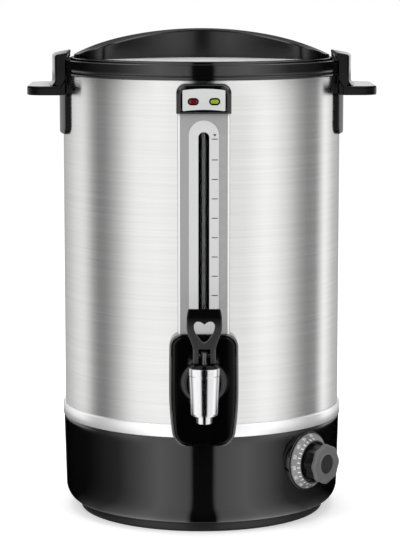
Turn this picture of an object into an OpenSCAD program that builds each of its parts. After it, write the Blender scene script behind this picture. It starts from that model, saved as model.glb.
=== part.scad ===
// Hot water urn: a round steel boiler on a black plinth, with a push tap, a sight gauge,
// two indicator lamps, a thermostat knob, two carrying handles and a loose lid.
// Millimetres. +Z is up, the tap faces -Y, and the origin is the middle of the foot ring,
// on the surface that the urn stands on.

/* [Body] */
// Outer diameter of the steel jacket
body_d = 280; // [270:1:300]
// Sheet thickness of jacket, trim band and tank
sheet_t = 0.8; // [0.6:0.1:1.2]
// Height of the jacket between plinth and collar
jacket_h = 346.2; // [340:0.1:380]
// Radial room between the tank and the outside of the jacket
tank_room = 9.5; // [9.2:0.1:11]
// Height of the tank floor above the plinth's top edge
tank_floor_up = 20; // [18:1:26]
// Thickness of the felt between tank and jacket
felt_t = 4.4; // [3:0.1:5]

/* [Plinth] */
// Height of the plinth's top edge above the table
plinth_h = 98; // [94:1:110]
// How far the plinth's top edge stands out from the jacket
plinth_proud = 1.4; // [0.8:0.1:3]
// How much the plinth's radius shrinks from its top edge to its lower corner
plinth_taper = 1.8; // [0.5:0.1:3]
// Height of the lower corner's round
plinth_round_h = 17; // [12:1:22]
// Depth of the lower corner's round
plinth_round_w = 12.6; // [8:0.1:16]
// Wall of the moulded plinth
plinth_wall = 3; // [2.5:0.1:4]
// Height of the foot ring
foot_h = 9; // [7:0.5:12]
// Outer diameter of the foot ring
foot_d = 249; // [240:1:252]
// Height of the polished band above the plinth
band_h = 14; // [8:1:18]
// How far the polished band stands out from the jacket
band_proud = 2.3; // [1.6:0.1:3]

/* [Collar and lid] */
// Height of the black collar
collar_h = 15.2; // [14:0.1:20]
// How far the collar stands out from the jacket
collar_proud = 2.4; // [1.8:0.1:3]
// Radial width of the collar's top
collar_w = 9.2; // [8.5:0.1:9.5]
// Width of the lid's black rim
lid_rim_w = 14.2; // [10:0.1:20]
// Height of the arched lid handle above the lid
arch_h = 28; // [20:1:40]
// Length of the arched handle
arch_l = 257; // [245:1:258]
// Width of the arched handle at its middle
arch_w = 44; // [36:1:60]
// Width of the arched handle at its ends
arch_end_w = 226; // [180:1:250]
// Lift at which the lid is clear of the collar and hooks
lid_lift = 120; // [60:1:200]

/* [Handles] */
// How far the handle posts stand out from the jacket
post_proud = 11; // [9:0.5:14]
// How far the grips stand out from the jacket
grip_proud = 34.5; // [28:0.5:40]
// Width of the grips
grip_w = 100; // [90:1:104]
// Thickness of the grips
grip_t = 9; // [8:0.5:12]
// Height of the grips' underside below the collar
grip_down = 19.2; // [17:0.1:24]
// Length of the handle plate below the collar
leg_down = 63; // [50:1:75]
// Thickness of the handle plate
plate_t = 3.7; // [3:0.1:5]
// Half angle of the post round the body
post_half = 24; // [22:0.5:27]

/* [Gauge and lamps] */
// Width of the gauge panel
panel_w = 50; // [46:1:56]
// How far the panel's face stands out from the jacket
panel_proud = 14; // [13:0.5:16]
// Width of the light scale strip
strip_w = 29.3; // [24:0.1:34]
// Width of the slot in front of the sight tube
slot_w = 10.4; // [9:0.1:12]
// Outer diameter of the glass sight tube
tube_d = 8; // [7:0.1:8.4]
// Width of the lamp box
lamp_box_w = 52.7; // [51:0.1:60]
// Height of the lamp box
lamp_box_h = 28.8; // [26:0.1:32]
// How far the lamp box stands out from the jacket
lamp_box_proud = 20; // [18:0.5:24]
// Distance between the two lamps
lamp_pitch = 20.3; // [14:0.1:24]

/* [Tap] */
// Height of the tap's shank above the plinth's top edge
tap_up = 58; // [54:1:70]
// How far the tap barrel's axis stands out from the jacket
tap_out = 45; // [43:1:55]
// Diameter of the tap barrel
barrel_d = 29.8; // [28:0.1:32]
// Outer diameter of the nozzle
nozzle_d = 15.3; // [14:0.1:17]
// Length of the nozzle below the barrel
nozzle_l = 7.5; // [6:0.5:10]
// Diameter of the valve stem
stem_d = 7; // [6:0.1:7.4]
// Diameter of the lever's pin
pin_d = 4; // [3:0.1:4.4]
// Cam lift of the stem for each radian of lever travel
cam_lift = 4.5; // [3:0.1:5]
// Lever travel in degrees
lever_travel = 40; // [20:1:45]
// Height of the lever above its pin
lever_h = 45.6; // [38:0.1:55]
// Width of the lever's paddle
lever_w = 33.6; // [29:0.1:36]
// Outer diameter of the tap's threaded shank
shank_d = 19; // [17:0.1:20]
// Width of the shield behind the tap
shield_w = 67; // [62:0.5:76]
// Height of the shield behind the tap
shield_h = 110; // [104:1:116]
// How far the shield's face stands out from the jacket
shield_proud = 18; // [17.5:0.5:19]

/* [Thermostat knob] */
// Direction of the knob, in degrees from the tap towards +X
knob_turned = 47; // [40:1:75]
// Height of the knob's axis above the table
knob_z = 65; // [55:1:66]
// Diameter of the numbered ring
dial_d = 55.5; // [50:0.5:58]
// Largest diameter of the knob's cap
knob_d = 40; // [34:0.1:42]
// Height of the knob above the numbered ring
knob_h = 22.6; // [18:0.1:28]
// Number of lobes round the knob
knob_lobes = 8; // [6:1:10]
// Diameter of the thermostat's shaft
shaft_d = 6; // [5:0.1:7]

/* [Hidden] */

$fn = 96;

// Clearances
fit_gap = 0.05;      // running fit on a radius
seat_gap = 0.1;      // between faces that rest on each other across a joint
loose_gap = 0.3;     // round a fastener or between neighbouring mouldings
bite = 0.5;          // how far a cutting tool passes the face that it opens

// Levels and radii of the body
body_r = body_d / 2;
tank_r = body_r - tank_room;
collar_z = plinth_h + jacket_h;
collar_top = collar_z + collar_h;
rim_z = collar_top - 7.4;
tank_floor_z = plinth_h + tank_floor_up;
collar_r = body_r + collar_proud;
plinth_r = body_r + plinth_proud;
plinth_low_r = plinth_r - plinth_taper;
foot_r = foot_d / 2;
foot_w = 6.5;
foot_in_r = foot_r - foot_w;
spigot_h = 6;
spigot_r = body_r - sheet_t - seat_gap;
spigot_w = 3;

// Collar section
ledge_z = collar_top - 3.2;
collar_in_r = collar_r - collar_w;
collar_lip_r = collar_in_r - 6.2;

// Lid
lid_gap = 0.5;
lid_r = collar_in_r - lid_gap;
lid_z = collar_top + 2;
lid_bottom = ledge_z + seat_gap;
lid_in_r = lid_r - lid_rim_w;
arch_half = arch_l / 2;
arch_tip = 2.6;
arch_r = (pow(arch_half, 2) + pow(arch_h - arch_tip, 2)) / (2 * (arch_h - arch_tip));
lid_screw_x = 60;
pan_depth = 10;
pan_r = collar_lip_r - 1.5;
disc_step = 1.2;
disc_flange = 2.5;
pan_top = lid_z - disc_step - sheet_t;

// Handles
post_r = body_r + post_proud;
hook_gap = 0.3;
hook_r = lid_r + 0.8;
hook_top = collar_top + 8.6;
grip_z = collar_z - grip_down;
grip_r = body_r + grip_proud;
plate_half_w = 72;
leg_half_w = 61;
leg_corner = 14;
screw_z = grip_z + grip_t / 2 + 5;
screw_half = 12;
screw_d = 4;

// Lamp box
box_top = collar_z - 2.2;
box_z = box_top - lamp_box_h;
box_front = body_r + lamp_box_proud;
box_arch_r = 153;
box_arch_z = box_z + 2.3 - box_arch_r;
lamp_z = box_top - 16.4;
fascia_w = lamp_box_w - 12.2;
fascia_t = 1.2;
fascia_h = 19.8;
fascia_rim = 2.4;
lens_w = 7.7;
lens_h = 4;
bezel_rim = 1.6;

// Tap
tap_z = plinth_h + tap_up;
tap_y = -(body_r + tap_out);
barrel_r = barrel_d / 2;
barrel_top = tap_z + 19.4;
barrel_low = tap_z - 27;
nozzle_z = barrel_low - nozzle_l;
seat_z = barrel_low + 5.4;
chamber_r = 10.5;
chamber_top = barrel_top - 9.4;
outlet_r = 4.5;
bonnet_top = barrel_top + 3.6;
stem_r = stem_d / 2;
pin_z = bonnet_top + 7;
stem_top = pin_z + 4;
spring_low = tap_z - 6.2;
stem_collar_t = 2;
shank_r = shank_d / 2;
shank_bore_r = 6;
shank_front = tap_y + chamber_r + 0.5;
shank_back = -(tank_r - 17.5);
nut_t = 7;
washer_t = 2;
washer_r = shank_r + 5.5;
washer_y = tank_r - sag(tank_r, washer_r) - fit_gap;
cam_heel = pin_z - bonnet_top - 0.12;
cheek_slot = stem_d + 1;
boss_r = 23.5;
boss_face_r = 18;
boss_h = 8;
boss_rim = 0.6;
boss_neck = 2.2;
heart_w = 20.5;
heart_h = 20.7;
heart_up = 13.3;

// Shield
shield_z = tap_z - 65;
shield_top = shield_z + shield_h;
shield_front = body_r + shield_proud;
shield_flange = 15.4;
shield_wall = 2.5;

// Gauge
panel_front = body_r + panel_proud;
panel_wall = 2;
panel_chamfer = 2;
tube_y = -(body_r + 7);
tube_r = tube_d / 2;
tee_r = 6;
slot_top = box_z - 17;
strip_top = slot_top + 11.4;
panel_z = shield_top - 14;
strip_z = shield_top - 12;
slot_z = shield_top + 19;
liner_w = 26;
liner_t = 0.5;
liner_r = body_r + seat_gap + liner_t;
tube_top = slot_top + 3;
tube_foot = tap_z + 18;

// Knob
plate_r = body_r + 3;
plate_t_in = 8;
control_l = 26;
dial_t = 1.6;
dial_rise = 8;
skirt_r = knob_d / 2 + 0.4;
knob_foot = plate_r + loose_gap;
knob_top = knob_foot + dial_t + knob_h;
cap_t = 4.2;
lobe_deep = 1.3;
insert_r = 9.5;
shaft_r = shaft_d / 2;
bush_r = 5;
nut_h = 3;
control_w = 30;
control_tall = 36;

// Heating
heater_r = 82;
heater_t = 5;
groove_r = 40;
groove_w = 2;
groove_deep = 1.5;
heater_z = tank_floor_z - heater_t;
element_tube = 4;
element_turn_r = 62;
cutout_d = 18;
cutout_h = 7;

// Screw heads
head_d = 6.4;
head_h = 2.2;
slot_l = 7;
slot_t = 0.8;
bracket_screw_l = 7.5;
bracket_head_d = 7.5;
bracket_head_h = 2;

// Inlet at the back
inlet_z = 50;
inlet_y = body_r - 2;
inlet_w = 24.2;
inlet_h = 16.4;
inlet_deep = 16;

black = [0.03, 0.03, 0.035];
steel = [0.78, 0.78, 0.77];

// ---- Shared shapes ------------------------------------------------------------------

// Rectangle with round corners, centred on x, from y0 upwards; low and high are its corner radii
module soft_rect(w, h, low, high) {
    translate([-w / 2 + low, 0]) square([w - 2 * low, h / 2]);
    translate([-w / 2 + high, h / 2]) square([w - 2 * high, h / 2]);
    translate([-w / 2, low]) square([w, h - low - high]);
    for (side = [-1, 1]) {
        translate([side * (w / 2 - low), low]) circle(low);
        translate([side * (w / 2 - high), h - high]) circle(high);
    }
}

// Oblong with round ends, centred
module oblong(w, h) {
    square([w - h, h], center = true);
    for (side = [-1, 1]) translate([side * (w - h) / 2, 0]) circle(h / 2);
}

// Solid from a front outline (x, z): it runs from y = -near to y = -far
module from_front(near, far) {
    translate([0, -near, 0]) rotate([90, 0, 0]) linear_extrude(far - near) children();
}

// Bar along Y on the shank's axis, from y0 to y1
module on_shank(y0, y1) {
    translate([0, y0, tap_z]) rotate([-90, 0, 0]) linear_extrude(y1 - y0) children();
}

// Depth of a round wall's bow across a half width
function sag(r, half) = r - sqrt(r * r - half * half);

// Ring outline
module ring(outer, inner) {
    difference() {
        circle(outer);
        circle(inner);
    }
}

// Frame of the knob: +Z points outwards along its axis, from the urn's own axis
module at_knob(r) {
    rotate([0, 0, knob_turned - 90]) translate([r, 0, knob_z]) rotate([0, 90, 0]) children();
}

// ---- Body ---------------------------------------------------------------------------

// Outline of the plinth's outside, as radius and height, pulled in by a wall
function plinth_curve(wall, steps = 12) = [
    for (i = [0:steps])
        let (a = 90 * i / steps)
        [
            plinth_low_r - plinth_round_w + (plinth_round_w - wall) * cos(a),
            foot_h + plinth_round_h - (plinth_round_h - wall) * sin(a)
        ]
];

module base_housing() {
    color(black) difference() {
        union() {
            rotate_extrude() difference() {
                polygon(concat(
                    [[0, foot_h], [0, plinth_h], [plinth_r - 0.6, plinth_h],
                     [plinth_r, plinth_h - 0.6], [plinth_r, plinth_h - 4]],
                    plinth_curve(0)
                ));
                polygon(concat(
                    [[0, foot_h + plinth_wall], [0, plinth_h + bite],
                     [spigot_r - spigot_w, plinth_h + bite],
                     [spigot_r - spigot_w, plinth_h - 8],
                     [plinth_r - plinth_wall, plinth_h - 12]],
                    plinth_curve(plinth_wall)
                ));
                translate([0, foot_h - bite]) square([foot_in_r - 7, plinth_wall + 1]);
            }
            rotate_extrude() translate([spigot_r - spigot_w, plinth_h - 1])
                square([spigot_w, spigot_h + 1]);
            at_knob(plate_r - plate_t_in) cylinder(d = dial_d + 3, h = plate_t_in);
            for (a = [45:90:315]) rotate([0, 0, a]) translate([foot_in_r - 3.5, 0, foot_h])
                cylinder(r = 4.5, h = 15);
            translate([-inlet_w / 2 - 8, inlet_y - 10, inlet_z - inlet_h / 2 - 7])
                cube([inlet_w + 16, 10, inlet_h + 14]);
        }
        at_knob(plate_r - 20) cylinder(r = bush_r + loose_gap / 3, h = 30);
        translate([-inlet_w / 2 - 1.8, 0, inlet_z - inlet_h / 2 - 1.8])
            cube([inlet_w + 3.6, plinth_r + bite, inlet_h + 3.6]);
        translate([-inlet_w / 2 - 8, inlet_y, inlet_z - inlet_h / 2 - 7])
            cube([inlet_w + 16, 20, inlet_h + 14]);
        for (a = [45:90:315]) rotate([0, 0, a]) translate([foot_in_r - 3.5, 0, foot_h - bite])
            cylinder(d = screw_d, h = 9 + bite);
    }
}

module foot_ring() {
    color([0.05, 0.05, 0.05]) rotate_extrude() difference() {
        translate([foot_in_r, 0]) square([foot_w, foot_h]);
        translate([foot_in_r + foot_w / 2 - 1, -bite]) square([2, 1.5 + bite]);
    }
}

module bottom_cover() {
    color(steel) difference() {
        translate([0, 0, foot_h - 1.2]) cylinder(r = foot_in_r - loose_gap, h = 1.2);
        for (a = [0:24:359]) rotate([0, 0, a]) translate([62, 0, foot_h - 2])
            linear_extrude(3) oblong(34, 3);
        for (a = [45:90:315]) rotate([0, 0, a]) translate([foot_in_r - 3.5, 0, foot_h - 2])
            cylinder(d = screw_d + loose_gap, h = 3);
    }
}

module cover_screws() {
    color("silver") for (a = [45:90:315]) rotate([0, 0, a])
        translate([foot_in_r - 3.5, 0, foot_h - 1.2]) {
            cylinder(d = screw_d, h = 9);
            difference() {
                translate([0, 0, -head_h]) cylinder(d = head_d, h = head_h);
                for (turn = [0, 90]) rotate([0, 0, turn]) translate([0, 0, -head_h - bite])
                    linear_extrude(1 + bite) square([slot_t, slot_l], center = true);
            }
        }
}

module outer_shell() {
    color(steel) difference() {
        translate([0, 0, plinth_h]) linear_extrude(rim_z - sheet_t - plinth_h)
            ring(body_r, body_r - sheet_t);
        on_shank(-body_r - bite, -body_r + 5) circle(shank_r + loose_gap);
        from_front(body_r - 5, body_r + bite) translate([0, lamp_z]) circle(5);
        for (side = [0, 180], a = [-screw_half, screw_half]) rotate([0, 0, side + a])
            translate([body_r - 5, 0, screw_z]) rotate([0, 90, 0])
                cylinder(d = screw_d + loose_gap, h = 8);
    }
}

module trim_ring() {
    band_r = body_r + band_proud;
    color("gainsboro") rotate_extrude() difference() {
        translate([body_r + fit_gap, plinth_h]) square([band_proud - fit_gap, band_h]);
        translate([band_r, plinth_h + band_h]) difference() {
            square([2.8, 2.8], center = true);
            translate([-1.4, -1.4]) circle(1.4);
        }
    }
}

module top_collar() {
    color(black) rotate_extrude() polygon([
        [body_r + fit_gap, collar_z], [collar_r, collar_z], [collar_r, collar_z + 3.1],
        [collar_r - 0.8, collar_z + 3.7], [collar_r - 0.3, collar_z + 4.5],
        [collar_r - 0.3, collar_top - 1.2], [collar_r - 0.65, collar_top - 0.35],
        [collar_r - 1.5, collar_top], [collar_in_r + 0.8, collar_top],
        [collar_in_r + 0.2, collar_top - 0.4], [collar_in_r, collar_top - 1],
        [collar_in_r, ledge_z], [collar_lip_r + 0.6, ledge_z], [collar_lip_r, ledge_z - 0.6],
        [collar_lip_r, rim_z], [body_r + fit_gap, rim_z]
    ]);
}

module inner_tank() {
    bend = 8;
    wall_r = tank_r + sheet_t;
    color(steel) difference() {
        rotate_extrude() {
            translate([tank_r, tank_floor_z + bend])
                square([sheet_t, rim_z - tank_floor_z - bend]);
            translate([0, tank_floor_z]) square([wall_r - bend, sheet_t]);
            translate([tank_r, rim_z - sheet_t]) square([body_r - tank_r, sheet_t]);
            translate([wall_r - bend, tank_floor_z + bend]) intersection() {
                ring(bend, bend - sheet_t);
                translate([0, -bend]) square(bend);
            }
        }
        on_shank(-tank_r - 5, -tank_r + 5) circle(shank_r + loose_gap);
    }
}

module insulation_wrap() {
    color([0.85, 0.8, 0.7]) difference() {
        translate([0, 0, tank_floor_z + 3]) linear_extrude(rim_z - tank_floor_z - 8)
            ring(tank_r + sheet_t + loose_gap + felt_t, tank_r + sheet_t + loose_gap);
        on_shank(-body_r, -tank_r + 5) circle(shank_r + 9);
        from_front(tank_r - 5, body_r) translate([0, lamp_z]) circle(7);
    }
}

module tank_support() {
    foot_z = plinth_h + spigot_h;
    stand_r = spigot_r - spigot_w - 5;
    color("gray") difference() {
        rotate_extrude() {
            translate([stand_r, foot_z]) square([5 + spigot_w, 1]);
            translate([stand_r, foot_z]) square([1, tank_floor_z - foot_z]);
            translate([stand_r - 14, tank_floor_z - 1]) square([15, 1]);
        }
        for (a = [0:45:359]) rotate([0, 0, a + 15])
            translate([stand_r - 3, 0, (foot_z + tank_floor_z) / 2])
                rotate([0, 90, 0]) cylinder(r = 3, h = 7);
    }
}

// ---- Heating ------------------------------------------------------------------------

module heating_plate() {
    color([0.7, 0.7, 0.72]) difference() {
        translate([0, 0, heater_z]) cylinder(r = heater_r, h = heater_t);
        translate([0, 0, heater_z - bite]) linear_extrude(groove_deep + bite)
            ring(groove_r, groove_r - groove_w);
    }
}

module heating_element() {
    color([0.5, 0.5, 0.48]) translate([0, 0, heater_z - element_tube]) {
        rotate([0, 0, 105]) rotate_extrude(angle = 330)
            translate([element_turn_r, 0]) circle(element_tube);
        for (a = [108, 72]) rotate([0, 0, a]) translate([element_turn_r, 0, 0]) {
            translate([0, 0, -12]) cylinder(r = 2.5, h = 12);
            translate([-0.4, -3.1, -20]) cube([0.8, 6.2, 9]);
        }
    }
}

module thermal_cutout() {
    color("ivory") translate([0, 0, heater_z - cutout_h]) {
        cylinder(d = cutout_d, h = cutout_h);
        for (side = [-1, 1]) translate([side * 6 - 0.4, -3.1, -8]) cube([0.8, 6.2, 9]);
    }
}

module thermostat_body() {
    color([0.85, 0.84, 0.8]) difference() {
        union() {
            at_knob(plate_r - plate_t_in - control_l)
                translate([-control_w / 2, -control_tall / 2, 0])
                    cube([control_w, control_tall, control_l]);
            at_knob(plate_r - 12) cylinder(r = bush_r, h = 14 + nut_h);
        }
        at_knob(plate_r - 30) cylinder(r = shaft_r + fit_gap, h = 60);
    }
}

module thermostat_nut() {
    color("silver") at_knob(plate_r) difference() {
        cylinder(r = 7.5, h = nut_h, $fn = 6);
        translate([0, 0, -bite]) cylinder(r = bush_r, h = nut_h + 2 * bite);
    }
}

module capillary_bulb() {
    bulb_z = tank_floor_z - 3;
    fall = plate_r - plate_t_in - control_l + 4;
    color([0.8, 0.5, 0.3]) rotate([0, 0, knob_turned - 90]) {
        translate([86, 0, bulb_z]) rotate([0, 90, 0]) cylinder(r = 3, h = fall - 86 + 2);
        translate([fall, 0, knob_z + 15]) cylinder(r = 1, h = bulb_z - knob_z - 15);
    }
}

module power_inlet() {
    color([0.06, 0.06, 0.06]) difference() {
        union() {
            translate([-inlet_w / 2 - 6, inlet_y, inlet_z - inlet_h / 2 - 5])
                cube([inlet_w + 12, 2, inlet_h + 10]);
            translate([-inlet_w / 2 - 1.5, inlet_y - inlet_deep - 2, inlet_z - inlet_h / 2 - 1.5])
                cube([inlet_w + 3, inlet_deep + 3, inlet_h + 3]);
        }
        difference() {
            translate([-inlet_w / 2, inlet_y - inlet_deep + 2, inlet_z - inlet_h / 2])
                cube([inlet_w, inlet_deep + 5, inlet_h]);
            for (side = [-1, 1]) translate([side * inlet_w / 2, inlet_y - 20, inlet_z + inlet_h / 2])
                rotate([0, 45, 0]) cube([5, 60, 5], center = true);
        }
        for (p = [[0, 4], [-7, -1], [7, -1]])
            translate([p[0] - 1, inlet_y - inlet_deep - 3, inlet_z + p[1] - 2]) cube([2, 8, 4]);
    }
}

module inlet_pins() {
    color("silver") for (p = [[0, 4], [-7, -1], [7, -1]])
        translate([p[0] - 1, inlet_y - inlet_deep - 8, inlet_z + p[1] - 2]) cube([2, 21, 4]);
}

// ---- Handles ------------------------------------------------------------------------

// Side view of the plate and leg, as y and z
module plate_outline() {
    leg_z = collar_z - leg_down;
    wide_z = grip_z + 3;
    translate([-plate_half_w, wide_z]) square([2 * plate_half_w, collar_z - seat_gap - wide_z]);
    polygon([[-plate_half_w, wide_z], [plate_half_w, wide_z],
             [leg_half_w, wide_z - 8], [-leg_half_w, wide_z - 8]]);
    translate([0, leg_z]) soft_rect(2 * leg_half_w, wide_z - leg_z, leg_corner, 1);
}

// Section of the post with its hook over the collar, as radius and height
module post_section() {
    polygon([
        [body_r + seat_gap, grip_z], [post_r, grip_z], [post_r, hook_top - 4.6],
        [post_r - 0.5, hook_top - 3.1], [post_r - 1.6, hook_top - 2.5],
        [hook_r + 1.2, hook_top], [hook_r + 0.3, hook_top - 0.3], [hook_r, hook_top - 1.1],
        [hook_r, hook_top - 3.6], [hook_r + 2.2, hook_top - 4.4],
        [hook_r + 4, collar_top + hook_gap], [collar_r + seat_gap, collar_top + hook_gap],
        [collar_r + seat_gap, collar_z - seat_gap], [body_r + seat_gap, collar_z - seat_gap]
    ]);
    translate([post_r - 0.5, grip_z + grip_t - 0.5]) difference() {
        square([4.5, 4.5]);
        translate([4.5, 4.5]) circle(4);
    }
}

// Plan of the grip, pulled in by a wall
module grip_outline(wall) {
    corner = 15 - wall;
    half = grip_w / 2 - wall;
    reach = grip_r - wall;
    translate([body_r - 12, -half]) square([reach - corner - body_r + 12, 2 * half]);
    translate([body_r, -half + corner]) square([reach - body_r, 2 * (half - corner)]);
    for (side = [-1, 1]) translate([reach - corner, side * (half - corner)]) circle(corner);
}

module side_handle() {
    wall = 2.4;
    difference() {
        union() {
            intersection() {
                translate([0, 0, collar_z - leg_down - 1]) linear_extrude(leg_down + 1)
                    ring(body_r + seat_gap + plate_t, body_r + seat_gap);
                rotate([90, 0, 90]) linear_extrude(body_r + 20) plate_outline();
            }
            rotate([0, 0, -post_half]) rotate_extrude(angle = 2 * post_half) post_section();
            difference() {
                translate([0, 0, grip_z]) linear_extrude(grip_t) grip_outline(0);
                translate([0, 0, grip_z - bite]) cylinder(r = body_r + seat_gap + 1, h = grip_t + 1);
            }
        }
        difference() {
            translate([0, 0, grip_z - bite]) linear_extrude(grip_t - wall + bite)
                grip_outline(wall);
            cylinder(r = post_r + 1, h = hook_top);
            for (y = [-24, 0, 24]) translate([body_r, y - 1, grip_z]) cube([60, 2, grip_t]);
        }
        for (a = [-screw_half, screw_half]) rotate([0, 0, a])
            translate([body_r - 1, 0, screw_z]) rotate([0, 90, 0]) cylinder(d = screw_d, h = 8);
    }
}

module handle_right() {
    color(black) side_handle();
}

module handle_left() {
    color(black) mirror([1, 0, 0]) side_handle();
}

module handle_screws() {
    color("silver") for (side = [0, 180], a = [-screw_half, screw_half])
        rotate([0, 0, side + a]) translate([body_r - sheet_t - 0.3, 0, screw_z])
            rotate([0, 90, 0]) {
                cylinder(d = screw_d, h = bracket_screw_l);
                translate([0, 0, -bracket_head_h]) cylinder(d = bracket_head_d, h = bracket_head_h);
            }
}

// ---- Lamp box -----------------------------------------------------------------------

// Front outline of the lamp box, pulled in by inset
module lamp_box_outline(inset) {
    translate([0, box_z + inset])
        soft_rect(lamp_box_w - 2 * inset, lamp_box_h - 2 * inset, 1, 9 - inset / 2);
}

// Cuts the arched lower edge, moved down by drop
module lamp_box_arch(drop) {
    from_front(body_r - 20, box_front + 5) translate([0, box_arch_z - drop])
        circle(box_arch_r, $fn = 360);
}

module indicator_housing() {
    wall = 4.2;
    color(black) difference() {
        union() {
            from_front(body_r - 6, box_front - 7) lamp_box_outline(0);
            hull() {
                from_front(box_front - 7, box_front - 6.9) lamp_box_outline(0, $fn = 32);
                from_front(box_front - 3, box_front - 2.9) lamp_box_outline(1.2, $fn = 32);
                from_front(box_front - 0.1, box_front) lamp_box_outline(4, $fn = 32);
            }
        }
        lamp_box_arch(0);
        cylinder(r = body_r + seat_gap, h = collar_z);
        from_front(body_r - 6, box_front - 4) translate([0, box_z + 6])
            soft_rect(lamp_box_w - 2 * wall, lamp_box_h - 9, 1, 5);
        from_front(box_front - fascia_t, box_front + bite) fascia_outline(0);
        for (side = [-1, 1]) from_front(box_front - 8, box_front)
            translate([side * lamp_pitch / 2, lamp_z])
                oblong(lens_w + 2 * bezel_rim + 0.2, lens_h + 2 * bezel_rim + 0.2);
    }
}

// Front outline of the silver plate: both long edges follow the box's arch
module fascia_outline(inset) {
    intersection() {
        difference() {
            translate([0, box_arch_z + fascia_h])
                circle(box_arch_r + fascia_rim - inset, $fn = 360);
            translate([0, box_arch_z]) circle(box_arch_r + fascia_rim + inset, $fn = 360);
        }
        translate([0, box_z]) soft_rect(fascia_w - 2 * inset, lamp_box_h, 1, 1);
    }
}

module indicator_fascia() {
    color("silver") difference() {
        from_front(box_front - fascia_t, box_front - 0.1) fascia_outline(0.1);
        for (side = [-1, 1]) from_front(box_front - 5, box_front + 5)
            translate([side * lamp_pitch / 2, lamp_z])
                oblong(lens_w + 2 * bezel_rim + 0.1, lens_h + 2 * bezel_rim + 0.1);
    }
}

module lamp_bezels() {
    color("black") for (side = [-1, 1]) difference() {
        from_front(box_front - 3.6, box_front + 0.3) translate([side * lamp_pitch / 2, lamp_z])
            oblong(lens_w + 2 * bezel_rim, lens_h + 2 * bezel_rim);
        from_front(box_front - 5, box_front + 5) translate([side * lamp_pitch / 2, lamp_z])
            oblong(lens_w + 0.1, lens_h + 0.1);
    }
}

// Lens of one lamp: an oblong rod with a chamfered front
module lamp_lens(side) {
    translate([side * lamp_pitch / 2, 0, lamp_z]) {
        from_front(box_front - 3.6, box_front - 0.3) oblong(lens_w, lens_h);
        from_front(box_front - 0.3, box_front + 0.1) oblong(lens_w - 1, lens_h - 1);
    }
}

module lamp_red() {
    color([0.6, 0.02, 0.05]) lamp_lens(-1);
}

module lamp_green() {
    color([0.5, 0.65, 0.1]) lamp_lens(1);
}

module lamp_holders() {
    color("white") for (side = [-1, 1]) difference() {
        from_front(body_r + 3.6, box_front - 4) translate([side * lamp_pitch / 2, lamp_z])
            circle(4.4);
        from_front(body_r, body_r + 8) translate([side * lamp_pitch / 2, lamp_z])
            circle(2.5);
    }
}

// ---- Water gauge --------------------------------------------------------------------

// Slot with a round top, from low up to top
module tall_slot(w, low, top) {
    translate([-w / 2, low]) square([w, top - w / 2 - low]);
    translate([0, top - w / 2]) circle(w / 2);
}

module gauge_panel() {
    half = panel_w / 2;
    color([0.6, 0.6, 0.6]) difference() {
        translate([0, 0, panel_z]) linear_extrude(box_z + 4 - panel_z) difference() {
            polygon([
                [-half, -body_r + 8], [-half, -panel_front + panel_chamfer],
                [-half + panel_chamfer, -panel_front], [half - panel_chamfer, -panel_front],
                [half, -panel_front + panel_chamfer], [half, -body_r + 8]
            ]);
            translate([-half + panel_wall, -panel_front + panel_wall])
                square([panel_w - 2 * panel_wall, 60]);
            circle(body_r + seat_gap);
        }
        from_front(panel_front - 0.8, panel_front + bite)
            tall_slot(strip_w, strip_z, strip_top);
        from_front(panel_front - 5, panel_front + bite)
            tall_slot(slot_w, slot_z, slot_top);
        difference() {
            from_front(body_r - 20, panel_front + 5) translate([-half - 1, box_z - 2])
                square([panel_w + 2, 10]);
            lamp_box_arch(loose_gap);
        }
    }
}

module scale_strip() {
    color([0.85, 0.85, 0.84]) from_front(panel_front - 0.8, panel_front - 0.1) difference() {
        tall_slot(strip_w - 0.2, strip_z, strip_top - 0.1);
        tall_slot(slot_w, slot_z, slot_top);
    }
}

module gauge_liner() {
    color([0.03, 0.03, 0.03]) intersection() {
        from_front(body_r - 3, body_r + 3) translate([-liner_w / 2, slot_z - 6])
            square([liner_w, slot_top - slot_z + 12]);
        translate([0, 0, slot_z - 10]) linear_extrude(slot_top - slot_z + 20)
            ring(liner_r, liner_r - liner_t);
    }
}

module sight_tube() {
    color([0.8, 0.9, 0.95, 0.4]) translate([0, tube_y, tube_foot])
        linear_extrude(tube_top - tube_foot) ring(tube_r, tube_r - 1);
}

module tube_cap() {
    cap_r = tube_r + 0.9;
    color([0.2, 0.2, 0.2]) difference() {
        union() {
            translate([0, tube_y, tube_top - 4]) cylinder(r = cap_r, h = 6);
            translate([-cap_r, -panel_front + panel_wall, tube_top - 1])
                cube([2 * cap_r, panel_front - panel_wall - liner_r - seat_gap, 3]);
        }
        translate([0, tube_y, tube_top - 5]) cylinder(r = tube_r, h = 5);
        translate([0, tube_y, tube_top - 1]) cylinder(r = 1, h = 10);
    }
}

module tube_seal() {
    color([0.8, 0.3, 0.2]) translate([0, tube_y, tube_foot + 1]) linear_extrude(4)
        ring(tube_r + 1, tube_r);
}

module gauge_tee() {
    color([0.1, 0.1, 0.1]) difference() {
        union() {
            on_shank(tube_y - tee_r, tube_y + tee_r) circle(shank_r + 4.5);
            translate([0, tube_y, tap_z + shank_r]) cylinder(r = tee_r, h = 18 + 5 - shank_r);
        }
        on_shank(-shield_front, -body_r) circle(shank_r + fit_gap);
        translate([0, tube_y, tap_z]) cylinder(r = 2.5, h = 40);
        translate([0, tube_y, tube_foot]) cylinder(r = tube_r + fit_gap, h = 40);
        translate([0, tube_y, tube_foot + 1]) cylinder(r = tube_r + 1, h = 40);
    }
}

// ---- Tap ----------------------------------------------------------------------------

// Half width of the shield at a height above its middle, as a share of half its height
function shield_half(t) = shield_w / 2 - (t < 0 ? 5.2 : 0.6) * t * t;

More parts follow.
